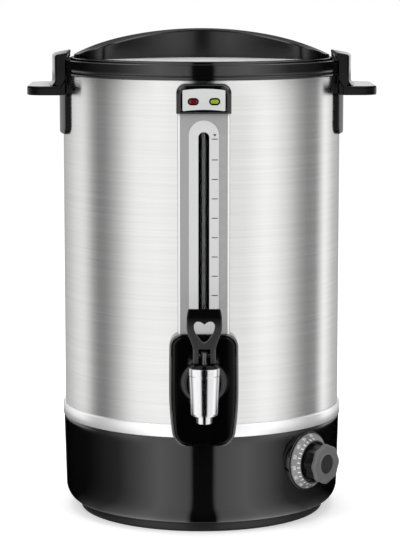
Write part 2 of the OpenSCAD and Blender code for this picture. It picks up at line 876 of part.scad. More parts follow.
// Front outline of the shield, pulled in by inset
module shield_outline(inset, steps = 16) {
    mid = (shield_z + shield_top) / 2;
    right = [
        for (i = [0:steps])
            let (t = 2 * i / steps - 1)
            [shield_half(t) - inset, mid + t * shield_h / 2]
    ];
    left = [for (i = [steps:-1:0]) [-right[i][0], right[i][1]]];
    intersection() {
        polygon(concat(right, left));
        translate([0, shield_z + inset])
            soft_rect(shield_w - 2 * inset, shield_h - 2 * inset, 13.5 - inset, 12 - inset);
    }
}

module tap_shield() {
    flange_y = body_r + shield_flange;
    color(black) difference() {
        union() {
            from_front(body_r - 10, flange_y) shield_outline(0);
            hull() {
                from_front(flange_y - 0.1, flange_y) shield_outline(0, $fn = 32);
                from_front(flange_y + 0.9, flange_y + 1) shield_outline(1, $fn = 32);
            }
            hull() {
                from_front(flange_y + 0.8, flange_y + 0.9) shield_outline(2, $fn = 32);
                from_front(flange_y + 1.8, flange_y + 1.9) shield_outline(2.8, $fn = 32);
                from_front(shield_front - 0.1, shield_front) shield_outline(6, $fn = 32);
            }
        }
        cylinder(r = body_r + seat_gap, h = collar_z);
        from_front(body_r - 20, shield_front - shield_wall) translate([0, shield_z + 10])
            soft_rect(panel_w + 2 * loose_gap, shield_h - 16, 8, 1);
        from_front(body_r - 20, panel_front + loose_gap) translate([0, panel_z - loose_gap])
            translate([-panel_w / 2 - loose_gap, 0]) square([panel_w + 2 * loose_gap, 40]);
        on_shank(-shield_front - 5, -body_r) circle(shank_r + loose_gap);
        translate([0, 0, plinth_h - 40]) cylinder(r = plinth_r + loose_gap, h = 40);
        translate([0, 0, plinth_h - 1]) cylinder(r = body_r + band_proud + loose_gap, h = band_h + 1.3);
    }
}

module tap_boss() {
    inner_r = shank_r + boss_neck + loose_gap;
    color(black) translate([0, -shield_front, tap_z]) rotate([90, 0, 0]) rotate_extrude()
        polygon(concat(
            [[inner_r, 0], [boss_r, 0]],
            [
                for (a = [0:10:90]) [
                    boss_r - (boss_r - boss_face_r) * sin(a),
                    boss_rim + (boss_h - boss_rim) * (1 - cos(a))
                ]
            ],
            [[inner_r, boss_h]]
        ));
}

module tap_shank() {
    color("silver") difference() {
        on_shank(shank_front, shank_back) circle(shank_r);
        on_shank(shank_front - bite, shank_back + bite) circle(shank_bore_r);
        translate([0, tube_y, tap_z]) cylinder(r = 2.5, h = 20);
    }
}

module shank_washers() {
    color([0.75, 0.75, 0.72]) {
        on_shank(-washer_y, -washer_y + washer_t) ring(washer_r, shank_r);
        on_shank(-body_r + sheet_t + sag(body_r, washer_r) + fit_gap, -tank_r - sheet_t - fit_gap)
            ring(washer_r, shank_r);
        on_shank(tube_y + tee_r, -body_r - fit_gap) ring(shank_r + 4, shank_r);
        on_shank(-shield_front + shield_wall, tube_y - tee_r) ring(shank_r + 4, shank_r);
    }
}

module shank_nut() {
    color("silver") difference() {
        on_shank(-washer_y + washer_t, -washer_y + washer_t + nut_t)
            circle(r = shank_r + 6, $fn = 6);
        on_shank(-tank_r, shank_back + bite) circle(shank_r);
    }
}

module tap_barrel() {
    nozzle_r = nozzle_d / 2;
    color([0.9, 0.9, 0.9]) difference() {
        union() {
            translate([0, tap_y, 0]) rotate_extrude() polygon([
                [0, nozzle_z], [nozzle_r - 0.6, nozzle_z], [nozzle_r, nozzle_z + 0.6],
                [nozzle_r, barrel_low], [barrel_r - 2.9, barrel_low + 0.2],
                [barrel_r - 2, barrel_low + 2], [barrel_r - 0.35, tap_z + 8],
                [barrel_r - 0.35, tap_z + 11.7], [barrel_r, tap_z + 12.1],
                [barrel_r, barrel_top - 0.8], [barrel_r - 0.8, barrel_top], [0, barrel_top]
            ]);
            on_shank(tap_y, -shield_front - loose_gap) circle(shank_r + boss_neck);
            on_shank(tap_y, -shield_front - boss_h - loose_gap) circle(shank_r + boss_neck + 1);
        }
        translate([0, tap_y, seat_z]) cylinder(r = chamber_r, h = chamber_top - seat_z + bite);
        translate([0, tap_y, chamber_top]) cylinder(r = chamber_r + 0.5, h = 20);
        translate([0, tap_y, nozzle_z - bite]) cylinder(r = outlet_r, h = 30);
        on_shank(tap_y, -body_r) circle(shank_bore_r);
        on_shank(shank_front, -body_r) circle(shank_r);
    }
}

module tap_bonnet() {
    color([0.04, 0.04, 0.04]) translate([0, tap_y, 0]) rotate_extrude() polygon([
        [stem_r + fit_gap, chamber_top], [chamber_r + 0.5, chamber_top],
        [chamber_r + 0.5, barrel_top], [barrel_r - 0.4, barrel_top],
        [barrel_r - 0.4, barrel_top + 1], [12.3, bonnet_top],
        [stem_r + fit_gap, bonnet_top]
    ]);
}

module valve_stem() {
    color("silver") translate([0, tap_y, 0]) difference() {
        rotate_extrude() polygon([
            [0, seat_z + 2.6], [3, seat_z + 2.6], [3, spring_low - stem_collar_t],
            [6.5, spring_low - stem_collar_t], [6.5, spring_low], [stem_r, spring_low],
            [stem_r, stem_top - 1.2], [stem_r - 1.2, stem_top], [0, stem_top]
        ]);
        translate([-20, 0, pin_z]) rotate([0, 90, 0]) cylinder(d = pin_d, h = 40);
    }
}

module lever_pin() {
    color("silver") translate([-10, tap_y, pin_z]) rotate([0, 90, 0])
        cylinder(d = pin_d, h = 20);
}

module valve_cup() {
    color([0.85, 0.85, 0.8]) translate([0, tap_y, 0]) rotate_extrude() polygon([
        [0, seat_z + seat_gap], [6.6, seat_z + seat_gap], [8.2, seat_z + 2],
        [8.2, seat_z + 8], [6.8, seat_z + 8.6], [3, seat_z + 8.6], [3, seat_z + 2.6],
        [0, seat_z + 2.6]
    ]);
}

// Points of a helix tube: ring i of a coil with the given radius, rise and wire
function helix_ring(i, per_turn, coil_r, rise, wire, sides) =
    let (a = 360 * i / per_turn)
    [
        for (s = [0:sides - 1])
            let (b = 360 * s / sides, r = coil_r + wire * cos(b))
            [r * cos(a), r * sin(a), rise * i / per_turn + wire * sin(b)]
    ];

module valve_spring() {
    turns = 5;
    per_turn = 12;
    sides = 6;
    wire = 0.6;
    coil_r = 5.4;
    low = spring_low + wire + 0.02;
    rise = (chamber_top - spring_low - 2 * wire - 0.04) / turns;
    rings = turns * per_turn;
    points = [for (i = [0:rings]) each helix_ring(i, per_turn, coil_r, rise, wire, sides)];
    skin = [
        for (i = [0:rings - 1], s = [0:sides - 1])
            let (a = i * sides + s, b = i * sides + (s + 1) % sides)
            each [[a, a + sides, b + sides], [a, b + sides, b]]
    ];
    ends = concat(
        [for (s = [1:sides - 2]) [0, s, s + 1]],
        [for (s = [1:sides - 2]) let (e = rings * sides) [e, e + s + 1, e + s]]
    );
    color("silver") translate([0, tap_y, low]) polyhedron(points, concat(skin, ends));
}

// Cam heel below the pin: a curve whose distance from the pin grows steadily with the turn
function cam_point(a) =
    let (h = cam_heel + cam_lift * a * PI / 180)
    [-h * sin(a) - cam_lift * cos(a), -h * cos(a) + cam_lift * sin(a)];

// Side view of the lever, as y and height from the pin
module lever_side() {
    polygon(concat(
        [for (a = [0:4:lever_travel]) cam_point(a)],
        [
            [-9.6, -1], [-7.6, 4.5], [-5, 9], [-3.6, 14], [-3, 22], [-2.9, lever_h - 1.5],
            [-2, lever_h], [0.6, lever_h], [1.4, lever_h - 1], [1.7, 22], [2.4, 14],
            [4.4, 9], [6, 4.5], [6.2, -3], [5.2, -cam_heel]
        ]
    ));
}

// Half width of the lever at a height above its pin
function lever_half(z) =
    let (t = max(0, min(1, (z - 6) / (lever_h - 23.6))), neck = 10.8)
    z > lever_h - 11
        ? lever_w / 2 - 1.6 * pow((z - lever_h + 11) / 11, 2)
        : neck + (lever_w / 2 - neck) * (1 - cos(180 * t)) / 2;

// Front view of the lever, as x and height from the pin
module lever_front(steps = 24) {
    right = [
        for (i = [0:steps])
            let (z = -cam_heel - 1 + (lever_h - 1.5 + cam_heel + 1) * i / steps)
            [lever_half(z), z]
    ];
    top = [[lever_half(lever_h) - 2, lever_h]];
    half = concat(right, top);
    n = len(half) - 1;
    polygon(concat(half, [for (i = [n:-1:0]) [-half[i][0], half[i][1]]]));
}

// Heart: two lobes on a rounded wedge, from its tip up
module heart(w, h) {
    lobe = w * 0.27;
    lobe_x = w / 2 - lobe;
    lobe_z = h - lobe;
    for (side = [-1, 1]) translate([side * lobe_x, lobe_z]) circle(lobe);
    polygon([
        [0, 0.4], [w * 0.15, h * 0.13], [w * 0.36, h * 0.42], [w * 0.48, lobe_z - lobe * 0.25],
        [w * 0.3, lobe_z + lobe * 0.3], [0, h - lobe * 0.62], [-w * 0.3, lobe_z + lobe * 0.3],
        [-w * 0.48, lobe_z - lobe * 0.25], [-w * 0.36, h * 0.42], [-w * 0.15, h * 0.13]
    ]);
}

module tap_lever() {
    color([0.07, 0.07, 0.07]) translate([0, tap_y, pin_z]) difference() {
        intersection() {
            translate([-lever_w / 2, 0, 0]) rotate([90, 0, 90]) linear_extrude(lever_w)
                lever_side();
            translate([0, 20, 0]) rotate([90, 0, 0]) linear_extrude(40) lever_front();
        }
        translate([0, 20, heart_up]) rotate([90, 0, 0]) linear_extrude(40)
            heart(heart_w, heart_h);
        translate([0, 20, 0]) rotate([90, 0, 0]) linear_extrude(40) {
            translate([-cheek_slot / 2, -20]) square([cheek_slot, 24.5]);
            translate([0, 4.5]) circle(cheek_slot / 2);
        }
        translate([-20, 0, 0]) rotate([0, 90, 0]) cylinder(r = pin_d / 2 + fit_gap, h = 40);
    }
}

// ---- Lid ----------------------------------------------------------------------------

module lid_cover() {
    color(black) rotate_extrude() polygon([
            [lid_in_r, lid_z - 0.6], [lid_in_r + 0.6, lid_z], [lid_r - 5, lid_z],
            [lid_r - 1.6, lid_z - 0.7], [lid_r - 0.4, lid_z - 1.8], [lid_r, lid_z - 3],
            [lid_r, lid_bottom], [pan_r - 1, lid_bottom], [pan_r - 1, pan_top],
            [lid_in_r + disc_flange, pan_top], [lid_in_r + disc_flange, lid_z - disc_step],
            [lid_in_r, lid_z - disc_step]
    ]);
}

// Half width of the arched handle at a distance from its middle
function arch_half_w(x) = (arch_w + (arch_end_w - arch_w) * pow(x / arch_half, 2)) / 2;

// Plan of the arched handle, pulled in by a wall and kept inside the lid's rim
module arch_plan(wall, steps = 24) {
    side = [
        for (i = [-steps:steps])
            let (x = arch_half * i / steps)
            [x, arch_half_w(x) - wall]
    ];
    back = [for (i = [2 * steps:-1:0]) [side[i][0], -side[i][1]]];
    intersection() {
        polygon(concat(side, back));
        circle(lid_r - 3.5 - wall);
    }
}

// Drum whose top is the arch, pulled in by a wall
module arch_drum(wall) {
    translate([0, body_r, lid_z + arch_h - arch_r]) rotate([90, 0, 0])
        cylinder(r = arch_r - wall, h = body_d, $fn = 720);
}

module lid_handle() {
    wall = 3;
    color(black) intersection() {
        difference() {
            translate([0, 0, lid_z]) linear_extrude(arch_h + 1) arch_plan(0);
            difference() {
                intersection() {
                    translate([0, 0, lid_z - bite]) linear_extrude(arch_h) arch_plan(wall);
                    arch_drum(wall);
                }
                for (x = [-lid_screw_x, lid_screw_x]) translate([x, 0, lid_z - bite])
                    cylinder(r = 5, h = arch_h);
            }
            for (x = [-lid_screw_x, lid_screw_x]) translate([x, 0, lid_z - 1])
                cylinder(d = screw_d, h = 9);
        }
        arch_drum(0);
    }
}

module lid_disc() {
    color(steel) difference() {
        rotate_extrude() {
            translate([0, lid_z - sheet_t]) square([lid_in_r - 0.2, sheet_t]);
            translate([lid_in_r - 1, lid_z - disc_step - sheet_t]) square([0.8, disc_step]);
            translate([lid_in_r - 1, lid_z - disc_step - sheet_t])
                square([disc_flange + 0.8, sheet_t]);
        }
        for (x = [-lid_screw_x, lid_screw_x]) translate([x, 0, lid_z - 5])
            cylinder(d = screw_d + loose_gap, h = 10);
    }
}

module lid_pan() {
    floor_z = lid_bottom - pan_depth;
    color(steel) difference() {
        rotate_extrude() {
            translate([0, floor_z]) square([pan_r - 12, sheet_t]);
            polygon([
                [pan_r - 12, floor_z], [pan_r - 1.2, lid_bottom - 0.2], [pan_r - 1.2, pan_top],
                [lid_in_r - 1, pan_top], [lid_in_r - 1, pan_top - sheet_t],
                [pan_r - 1.2 - sheet_t, pan_top - sheet_t], [pan_r - 1.2 - sheet_t, lid_bottom],
                [pan_r - 12, floor_z + sheet_t]
            ]);
        }
        for (x = [-lid_screw_x, lid_screw_x]) translate([x, 0, floor_z - 1])
            cylinder(d = screw_d + loose_gap, h = 5);
    }
}

module lid_screws() {
    floor_z = lid_bottom - pan_depth;
    color("silver") for (x = [-lid_screw_x, lid_screw_x]) translate([x, 0, floor_z]) {
        translate([0, 0, -2]) cylinder(d = 8, h = 2);
        cylinder(d = screw_d, h = lid_z + 5 - floor_z);
    }
}

// ---- Knob ---------------------------------------------------------------------------

// Lobed outline with the given largest radius and lobe depth
module lobed(r, depth, steps = 12) {
    n = steps * knob_lobes;
    polygon([
        for (i = [0:n - 1])
            let (a = 360 * i / n, q = r - depth * (1 - cos(knob_lobes * a)) / 2)
            [q * cos(a), q * sin(a)]
    ]);
}

module knob_body() {
    color([0.03, 0.03, 0.03]) at_knob(knob_foot + dial_t) difference() {
        linear_extrude(knob_h - cap_t) lobed(knob_d / 2 - 1.2, lobe_deep);
        translate([0, 0, -bite]) cylinder(r = 9.2, h = nut_h + 4 + bite);
        translate([0, 0, -bite]) cylinder(r = shaft_r, h = knob_h - cap_t - 3 + bite);
    }
}

module knob_cap() {
    color([0.45, 0.45, 0.45]) at_knob(knob_top - cap_t) difference() {
        union() {
            linear_extrude(cap_t - 1.6) lobed(knob_d / 2, lobe_deep);
            translate([0, 0, cap_t - 1.6]) linear_extrude(1.6, scale = 0.92)
                lobed(knob_d / 2, lobe_deep);
        }
        translate([0, 0, 1.6]) cylinder(r = insert_r, h = cap_t);
    }
}

module knob_insert() {
    color([0.15, 0.15, 0.15]) at_knob(knob_top - cap_t + 1.6)
        cylinder(r = insert_r - fit_gap, h = cap_t - 2.2);
}

module dial_ring() {
    color([0.25, 0.25, 0.26]) at_knob(knob_foot) rotate_extrude() polygon([
        [10, 0], [dial_d / 2 - 0.4, 0], [dial_d / 2, 0.4], [dial_d / 2, 0.9],
        [skirt_r + 1.5, dial_rise], [skirt_r, dial_rise], [skirt_r - 0.6, dial_t],
        [10, dial_t]
    ]);
}

module thermostat_shaft() {
    color("silver") at_knob(plate_r - 28)
        cylinder(r = shaft_r, h = knob_foot + dial_t + knob_h - cap_t - 3 - plate_r + 28);
}

base_housing();
foot_ring();
bottom_cover();
cover_screws();
outer_shell();
trim_ring();
top_collar();
inner_tank();
insulation_wrap();
tank_support();
heating_plate();
heating_element();
thermal_cutout();
thermostat_body();
thermostat_nut();
capillary_bulb();
power_inlet();
inlet_pins();
handle_left();
handle_right();
handle_screws();
indicator_housing();
indicator_fascia();
lamp_bezels();
lamp_red();
lamp_green();
lamp_holders();
gauge_panel();
scale_strip();
gauge_liner();
sight_tube();
tube_cap();
tube_seal();
gauge_tee();
tap_shield();
tap_boss();
tap_shank();
shank_washers();
shank_nut();
tap_barrel();
tap_bonnet();
valve_stem();
lever_pin();
valve_cup();
valve_spring();
tap_lever();
lid_cover();
lid_handle();
lid_disc();
lid_pan();
lid_screws();
knob_body();
knob_cap();
knob_insert();
dial_ring();
thermostat_shaft();
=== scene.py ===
"""Looks of a hot water urn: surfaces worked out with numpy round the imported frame.

Sizes are millimetres in the object's own frame (+Z up, the tap faces -Y) and become metres when a
piece is made. Every piece is one or more sheets of points: a sheet is a grid whose rows are loops
or profiles, so a shape is a function of two parameters.
"""

import logging
import math
from dataclasses import dataclass, replace
from enum import Enum
from typing import Callable, Iterable, Optional, Sequence

import bmesh
import bpy
import numpy as np
from mathutils import Matrix, Vector


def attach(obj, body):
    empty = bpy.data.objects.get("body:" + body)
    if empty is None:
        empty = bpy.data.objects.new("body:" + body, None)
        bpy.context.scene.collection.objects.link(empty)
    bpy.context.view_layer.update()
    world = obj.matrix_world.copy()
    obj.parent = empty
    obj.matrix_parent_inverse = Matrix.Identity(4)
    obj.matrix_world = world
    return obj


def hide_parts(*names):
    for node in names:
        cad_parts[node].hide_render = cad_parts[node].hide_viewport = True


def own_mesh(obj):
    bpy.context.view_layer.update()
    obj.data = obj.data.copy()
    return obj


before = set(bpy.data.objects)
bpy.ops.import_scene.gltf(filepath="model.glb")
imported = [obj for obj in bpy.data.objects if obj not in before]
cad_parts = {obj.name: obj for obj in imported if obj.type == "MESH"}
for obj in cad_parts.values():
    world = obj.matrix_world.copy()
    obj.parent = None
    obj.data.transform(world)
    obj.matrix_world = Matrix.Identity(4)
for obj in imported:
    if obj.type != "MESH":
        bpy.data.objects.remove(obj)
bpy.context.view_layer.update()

LOG = logging.getLogger("urn")
MM = 0.001
TURN = 2 * math.pi
QUARTER = math.pi / 2
Array = np.ndarray
Socket = bpy.types.NodeSocket
Node = bpy.types.Node
Value = float | tuple | Socket


class Body(Enum):
    """Rigid bodies of the frame that a piece can ride on."""

    URN = "urn"
    STEM = "stem"
    LEVER = "lever"
    LID = "lid"
    KNOB = "knob"


# ---- Shapes ------------------------------------------------------------------------------------


@dataclass
class Sheet:
    """A grid of points, rows by columns, in millimetres.

    Args:
        points: array of shape (rows, columns, 3).
        wrap_rows: whether the last row joins the first.
        wrap_cols: whether the last column joins the first.
        caps: whether the first and the last row are closed with a flat face.
    """

    points: Array
    wrap_rows: bool = False
    wrap_cols: bool = True
    caps: tuple[bool, bool] = (False, False)

    def faces(self, start: int) -> list[list[int]]:
        """Quads between neighbouring rows and columns, and the two caps.

        Args:
            start: index of the sheet's first point in the piece.
        Returns:
            Lists of point indices, one for each face.
        """
        rows, cols = self.points.shape[:2]
        i = np.arange(rows if self.wrap_rows else rows - 1)[:, None]
        j = np.arange(cols if self.wrap_cols else cols - 1)[None, :]
        here, above, along = i * cols, ((i + 1) % rows) * cols, (j + 1) % cols
        quads = np.stack([here + j, here + along, above + along, above + j], axis=-1)
        faces = (quads.reshape(-1, 4) + start).tolist()
        if self.caps[0]:
            faces.append((np.arange(cols)[::-1] + start).tolist())
        if self.caps[1]:
            faces.append((np.arange(cols) + (rows - 1) * cols + start).tolist())
        return faces


def points_of(*axes: float | Array) -> Array:
    """Joins coordinates, each a number or an array of a matching shape, into points."""
    return np.stack(np.broadcast_arrays(*axes), axis=-1)


def circle(count: int) -> Array:
    """Angles in equal steps round a full turn."""
    return np.linspace(0, TURN, count, endpoint=False)


def quarter(count: int) -> Array:
    """Angles from 0 to a quarter turn, both included."""
    return np.linspace(0, QUARTER, count)


def rounded(points: Sequence, radii: float | Sequence = 0.4, closed: bool = True, steps: int = 5) -> Array:
    """Rounds the corners of a polygon.

    A corner of half angle h and radius r is cut at r / tan(h) along both edges, and an arc about the
    point at r / sin(h) on the bisector takes its place.

    Args:
        points: corners as pairs.
        radii: one radius, or one for each corner.
        closed: whether the last corner joins the first; an open path keeps its two ends.
        steps: points on each arc.
    Returns:
        Array of pairs.
    """
    p = np.asarray(points, float)
    r = np.broadcast_to(np.asarray(radii, float), len(p))
    before, after = np.roll(p, 1, 0) - p, np.roll(p, -1, 0) - p
    la, lb = np.linalg.norm(before, axis=1), np.linalg.norm(after, axis=1)
    a, b = before / la[:, None], after / lb[:, None]
    half = np.arccos(np.clip((a * b).sum(1), -1, 1)) / 2
    half = np.clip(half, 0.02, QUARTER - 1e-4)
    cut = np.minimum(np.maximum(r, 0.02) / np.tan(half), 0.48 * np.minimum(la, lb))
    middle = a + b
    length = np.linalg.norm(middle, axis=1)[:, None]
    middle = np.where(length > 1e-6, middle / np.maximum(length, 1e-9), 0)
    centre = p + middle * (cut / np.cos(half))[:, None]
    u, v = p + a * cut[:, None] - centre, p + b * cut[:, None] - centre
    u, v = u[:, None], v[:, None]
    turn = (math.pi - 2 * half)[:, None, None]
    s = np.linspace(0, 1, steps)[None, :, None]
    arc = (np.sin((1 - s) * turn) * u + np.sin(s * turn) * v) / np.sin(turn)
    arc = np.where(turn < 0.01, (1 - s) * u + s * v, arc) + centre[:, None]
    if closed:
        return arc.reshape(-1, 2)
    return np.vstack([p[:1], arc[1:-1].reshape(-1, 2), p[-1:]])


def smoothed(loop: Sequence, rounds: int = 3) -> Array:
    """Rounds a closed loop by cutting each corner at a quarter and three quarters of its edges.

    Args:
        loop: its points.
        rounds: how many times the corners are cut.
    Returns:
        The finer loop.
    """
    p = np.asarray(loop, float)
    for _ in range(rounds):
        n = np.roll(p, -1, 0)
        p = np.stack([0.75 * p + 0.25 * n, 0.25 * p + 0.75 * n], axis=1).reshape(-1, p.shape[1])
    return p


def spaced(loop: Array, count: int = 360) -> Array:
    """Puts points at equal distances along a closed loop: linear between its own points.

    Args:
        loop: its points as pairs.
        count: number of points wanted.
    Returns:
        Array of pairs.
    """
    closed = np.vstack([loop, loop[:1]])
    length = np.concatenate([[0], np.cumsum(np.linalg.norm(np.diff(closed, axis=0), axis=1))])
    s = np.linspace(0, length[-1], count, endpoint=False)
    return points_of(np.interp(s, length, closed[:, 0]), np.interp(s, length, closed[:, 1]))


def inset(loop: Array, depth: float) -> Array:
    """Moves a counter-clockwise loop inwards: each point goes along the mean normal of its edges.

    Args:
        loop: its points as pairs.
        depth: how far it moves.
    Returns:
        The moved loop.
    """
    t = np.roll(loop, -1, 0) - np.roll(loop, 1, 0)
    t = t / np.maximum(np.linalg.norm(t, axis=1), 1e-9)[:, None]
    return loop + depth * points_of(-t[:, 1], t[:, 0])


def soft_outline(width: float, height: float, low: float, high: float, steps: int = 14) -> Array:
    """Rectangle with round corners, centred in x and standing on 0: four quarter circles in turn.

    Args:
        width: full width.
        height: full height.
        low: radius of the lower corners.
        high: radius of the upper corners.
        steps: points on each corner.
    Returns:
        Loop of pairs, counter-clockwise from the lower right corner.
    """
    s = quarter(steps)
    x, z = width / 2, height
    parts = [
        (x - low, low, low, -QUARTER), (x - high, z - high, high, 0),
        (-x + high, z - high, high, QUARTER), (-x + low, low, low, math.pi)]
    return np.vstack([points_of(cx + r * np.cos(s + a), cz + r * np.sin(s + a)) for cx, cz, r, a in parts])


def oblong_outline(width: float, height: float, steps: int = 16) -> Array:
    """Oblong with round ends about the origin.

    Args:
        width: full width with the round ends.
        height: full height.
        steps: points on each end.
    Returns:
        Loop of pairs, counter-clockwise.
    """
    s = np.linspace(-QUARTER, QUARTER, steps)
    r = height / 2
    right = points_of(width / 2 - r + r * np.cos(s), r * np.sin(s))
    return np.vstack([right, -right])


def at_angle(local: Array, azimuth: float, height: float) -> Array:
    """Turns (right, up, out) into the object's frame on a radial axis.

    Args:
        local: array whose last axis holds right, up and out as seen from outside.
        azimuth: degrees from -Y towards +X.
        height: height of the axis.
    Returns:
        Points in the object's frame.
    """
    a = math.radians(azimuth)
    right, up, out = (math.cos(a), math.sin(a), 0), (0, 0, 1), (math.sin(a), -math.cos(a), 0)
    return local @ np.array([right, up, out]) + [0, 0, height]


def turned(
    profile: Sequence, centre: Sequence = (0, 0, 0), along: str = "z", segments: int = 192,
    closed: bool = True,
) -> Sheet:
    """A profile of (radius, height) turned about an axis: x = r cos t, y = r sin t, z = h.

    Args:
        profile: pairs of radius and height.
        centre: a point on the axis.
        along: "z" for an upright axis, "-y" for one that points at the front.
        segments: number of steps round the axis.
        closed: whether the profile is a closed loop; an open one starts and ends on the axis.
    Returns:
        The turned sheet.
    """
    p = np.asarray(profile, float)
    t = circle(segments)
    r, h = p[:, :1], p[:, 1:]
    x, y = r * np.cos(t), r * np.sin(t)
    grid = points_of(x, y, h) if along == "z" else points_of(x, -h, y)
    return Sheet(grid + np.asarray(centre, float), wrap_rows=closed)


def turned_at(profile: Array, azimuth: float, height: float, segments: int) -> Sheet:
    """A closed profile of (radius, distance from the urn's axis) turned about a radial axis."""
    grid = turned(profile, segments=segments).points
    return Sheet(at_angle(grid, azimuth, height), wrap_rows=True)


def solid(rows: Sequence) -> Sheet:
    """Loops of equal length joined in turn, with a flat face on the first and on the last."""
    return Sheet(np.asarray(rows), caps=(True, True))


def on_front(loop: Array, depth: float) -> Array:
    """Puts a loop of (x, z) at the distance `depth` in front of the urn's axis."""
    return points_of(loop[:, 0], -depth, loop[:, 1])


def stacked(rows: Iterable[tuple[Array, float]], ring: bool = False) -> Sheet:
    """Loops of (x, z) laid one after the other, each at its distance in front of the urn's axis.

    Args:
        rows: loops of equal length with their distances.
        ring: whether the last loop joins the first; if not, both ends get a flat face.
    Returns:
        The sheet.
    """
    return Sheet(np.stack([on_front(loop, depth) for loop, depth in rows]), ring, caps=(not ring, not ring))


def mirrored(sheet: Sheet) -> Sheet:
    """The same sheet on the other side of x = 0."""
    return replace(sheet, points=sheet.points * [-1.0, 1.0, 1.0])


# ---- Finishes ----------------------------------------------------------------------------------


class Nodes:
    """A short way to lay out a node tree: each call adds a node and links what it is given."""

    def __init__(self, tree: bpy.types.NodeTree) -> None:
        """Starts on a tree and empties it."""
        self.tree = tree
        tree.nodes.clear()

    def add(self, kind: str, inputs: Optional[dict] = None, **fields: object) -> Node:
        """Adds a node.

        Args:
            kind: the node's type name.
            inputs: values or sockets for its inputs, by name or number.
            **fields: properties of the node.
        Returns:
            The new node.
        """
        node = self.tree.nodes.new(kind)
        for key, value in fields.items():
            setattr(node, key, value)
        for key, value in (inputs or {}).items():
            if isinstance(value, Socket):
                self.link(value, node.inputs[key])
            else:
                node.inputs[key].default_value = value
        return node

    def link(self, source: Socket, target: Socket) -> None:
        """Links an output to an input."""
        self.tree.links.new(source, target)

    def math(self, operation: str, a: Value, b: Value = 0.0, c: Value = 0.0) -> Socket:
        """Adds a Math node and returns its output."""
        return self.add("ShaderNodeMath", {0: a, 1: b, 2: c}, operation=operation).outputs[0]

    def ramp(
        self, value: Value, low: float, high: float, to_low: float = 0.0, to_high: float = 1.0,
    ) -> Socket:
        """Maps a value from one range to another and returns the result."""
        return self.add("ShaderNodeMapRange", {0: value, 1: low, 2: high, 3: to_low, 4: to_high}).outputs[0]

    def mix(self, share: Socket, a: Value, b: Value, kind: str = "RGBA") -> Socket:
        """Mixes two colours, or two numbers if the kind is FLOAT, and returns the result."""
        return self.add("ShaderNodeMix", {"Factor": share, "A": a, "B": b}, data_type=kind).outputs["Result"]

    def place(self) -> Socket:
        """Adds the object's own coordinates."""
        return self.add("ShaderNodeTexCoord").outputs["Object"]

    def noise(
        self, scale: Value, detail: float, rough: float = 0.5, place: Optional[Socket] = None,
    ) -> Socket:
        """Adds a noise over the object's own coordinates, or over others, and returns its value."""
        inputs = {"Vector": place or self.place(), "Scale": scale, "Detail": detail, "Roughness": rough}
        return self.add("ShaderNodeTexNoise", inputs).outputs["Fac"]


def shared(nodes: Nodes, fill: Callable, inputs: dict[str, float], outputs: Sequence[str]) -> Node:
    """Places a node group, which is built once and has the name of the function that fills it.

    Args:
        nodes: the material's nodes.
        fill: lays out the group; it takes Nodes, the input node and the output node.
        inputs: input names with this material's values.
        outputs: output names.
    Returns:
        The group node.
    """
    tree = bpy.data.node_groups.get(fill.__name__)
    if tree is None:
        tree = bpy.data.node_groups.new(fill.__name__, "ShaderNodeTree")
        inner = Nodes(tree)
        for way, keys in (("INPUT", inputs), ("OUTPUT", outputs)):
            for key in keys:
                tree.interface.new_socket(key, in_out=way, socket_type="NodeSocketFloat")
        fill(inner, inner.add("NodeGroupInput"), inner.add("NodeGroupOutput"))
    return nodes.add("ShaderNodeGroup", inputs, node_tree=tree)


def edge_wear(nodes: Nodes, source: Node, target: Node) -> None:
    """Mask of rubbed edges: the mesh's pointiness, broken up by a noise.

    Args:
        nodes: the group's nodes.
        source: its input node.
        target: its output node.
    """
    edge = nodes.ramp(nodes.add("ShaderNodeNewGeometry").outputs["Pointiness"], 0.58, 0.70)
    worn = nodes.math("MULTIPLY", edge, nodes.ramp(nodes.noise(160.0, 4.0), 0.45, 0.65))
    nodes.link(nodes.math("MULTIPLY", worn, source.outputs["Amount"]), target.inputs["Mask"])


def fine_grain(nodes: Nodes, source: Node, target: Node) -> None:
    """Moulded grain and faint smudges: a fine noise for height, a coarse one for gloss."""
    nodes.link(nodes.noise(source.outputs["Scale"], 3.0, 0.6), target.inputs["Height"])
    nodes.link(nodes.ramp(nodes.noise(26.0, 5.0, 0.55), 0.35, 0.7), target.inputs["Smudge"])


def brushed_lines(nodes: Nodes, source: Node, target: Node) -> None:
    """Long scratches that run round the urn: a noise that is stretched sideways, in two sizes.

    Args:
        nodes: the group's nodes.
        source: its input node, which has no sockets here.
        target: its output node.
    """
    parts = []
    for across, along, detail in ((2600.0, 10.0, 2.0), (420.0, 5.0, 3.0)):
        spot = nodes.add("ShaderNodeMapping", {"Vector": nodes.place(), "Scale": (along, along, across)})
        parts.append(nodes.noise(1.0, detail, place=spot.outputs[0]))
    lines = nodes.math("ADD", nodes.math("MULTIPLY", parts[0], 0.6), nodes.math("MULTIPLY", parts[1], 0.4))
    nodes.link(lines, target.inputs["Lines"])
    nodes.link(nodes.ramp(parts[1], 0.3, 0.7), target.inputs["Bands"])


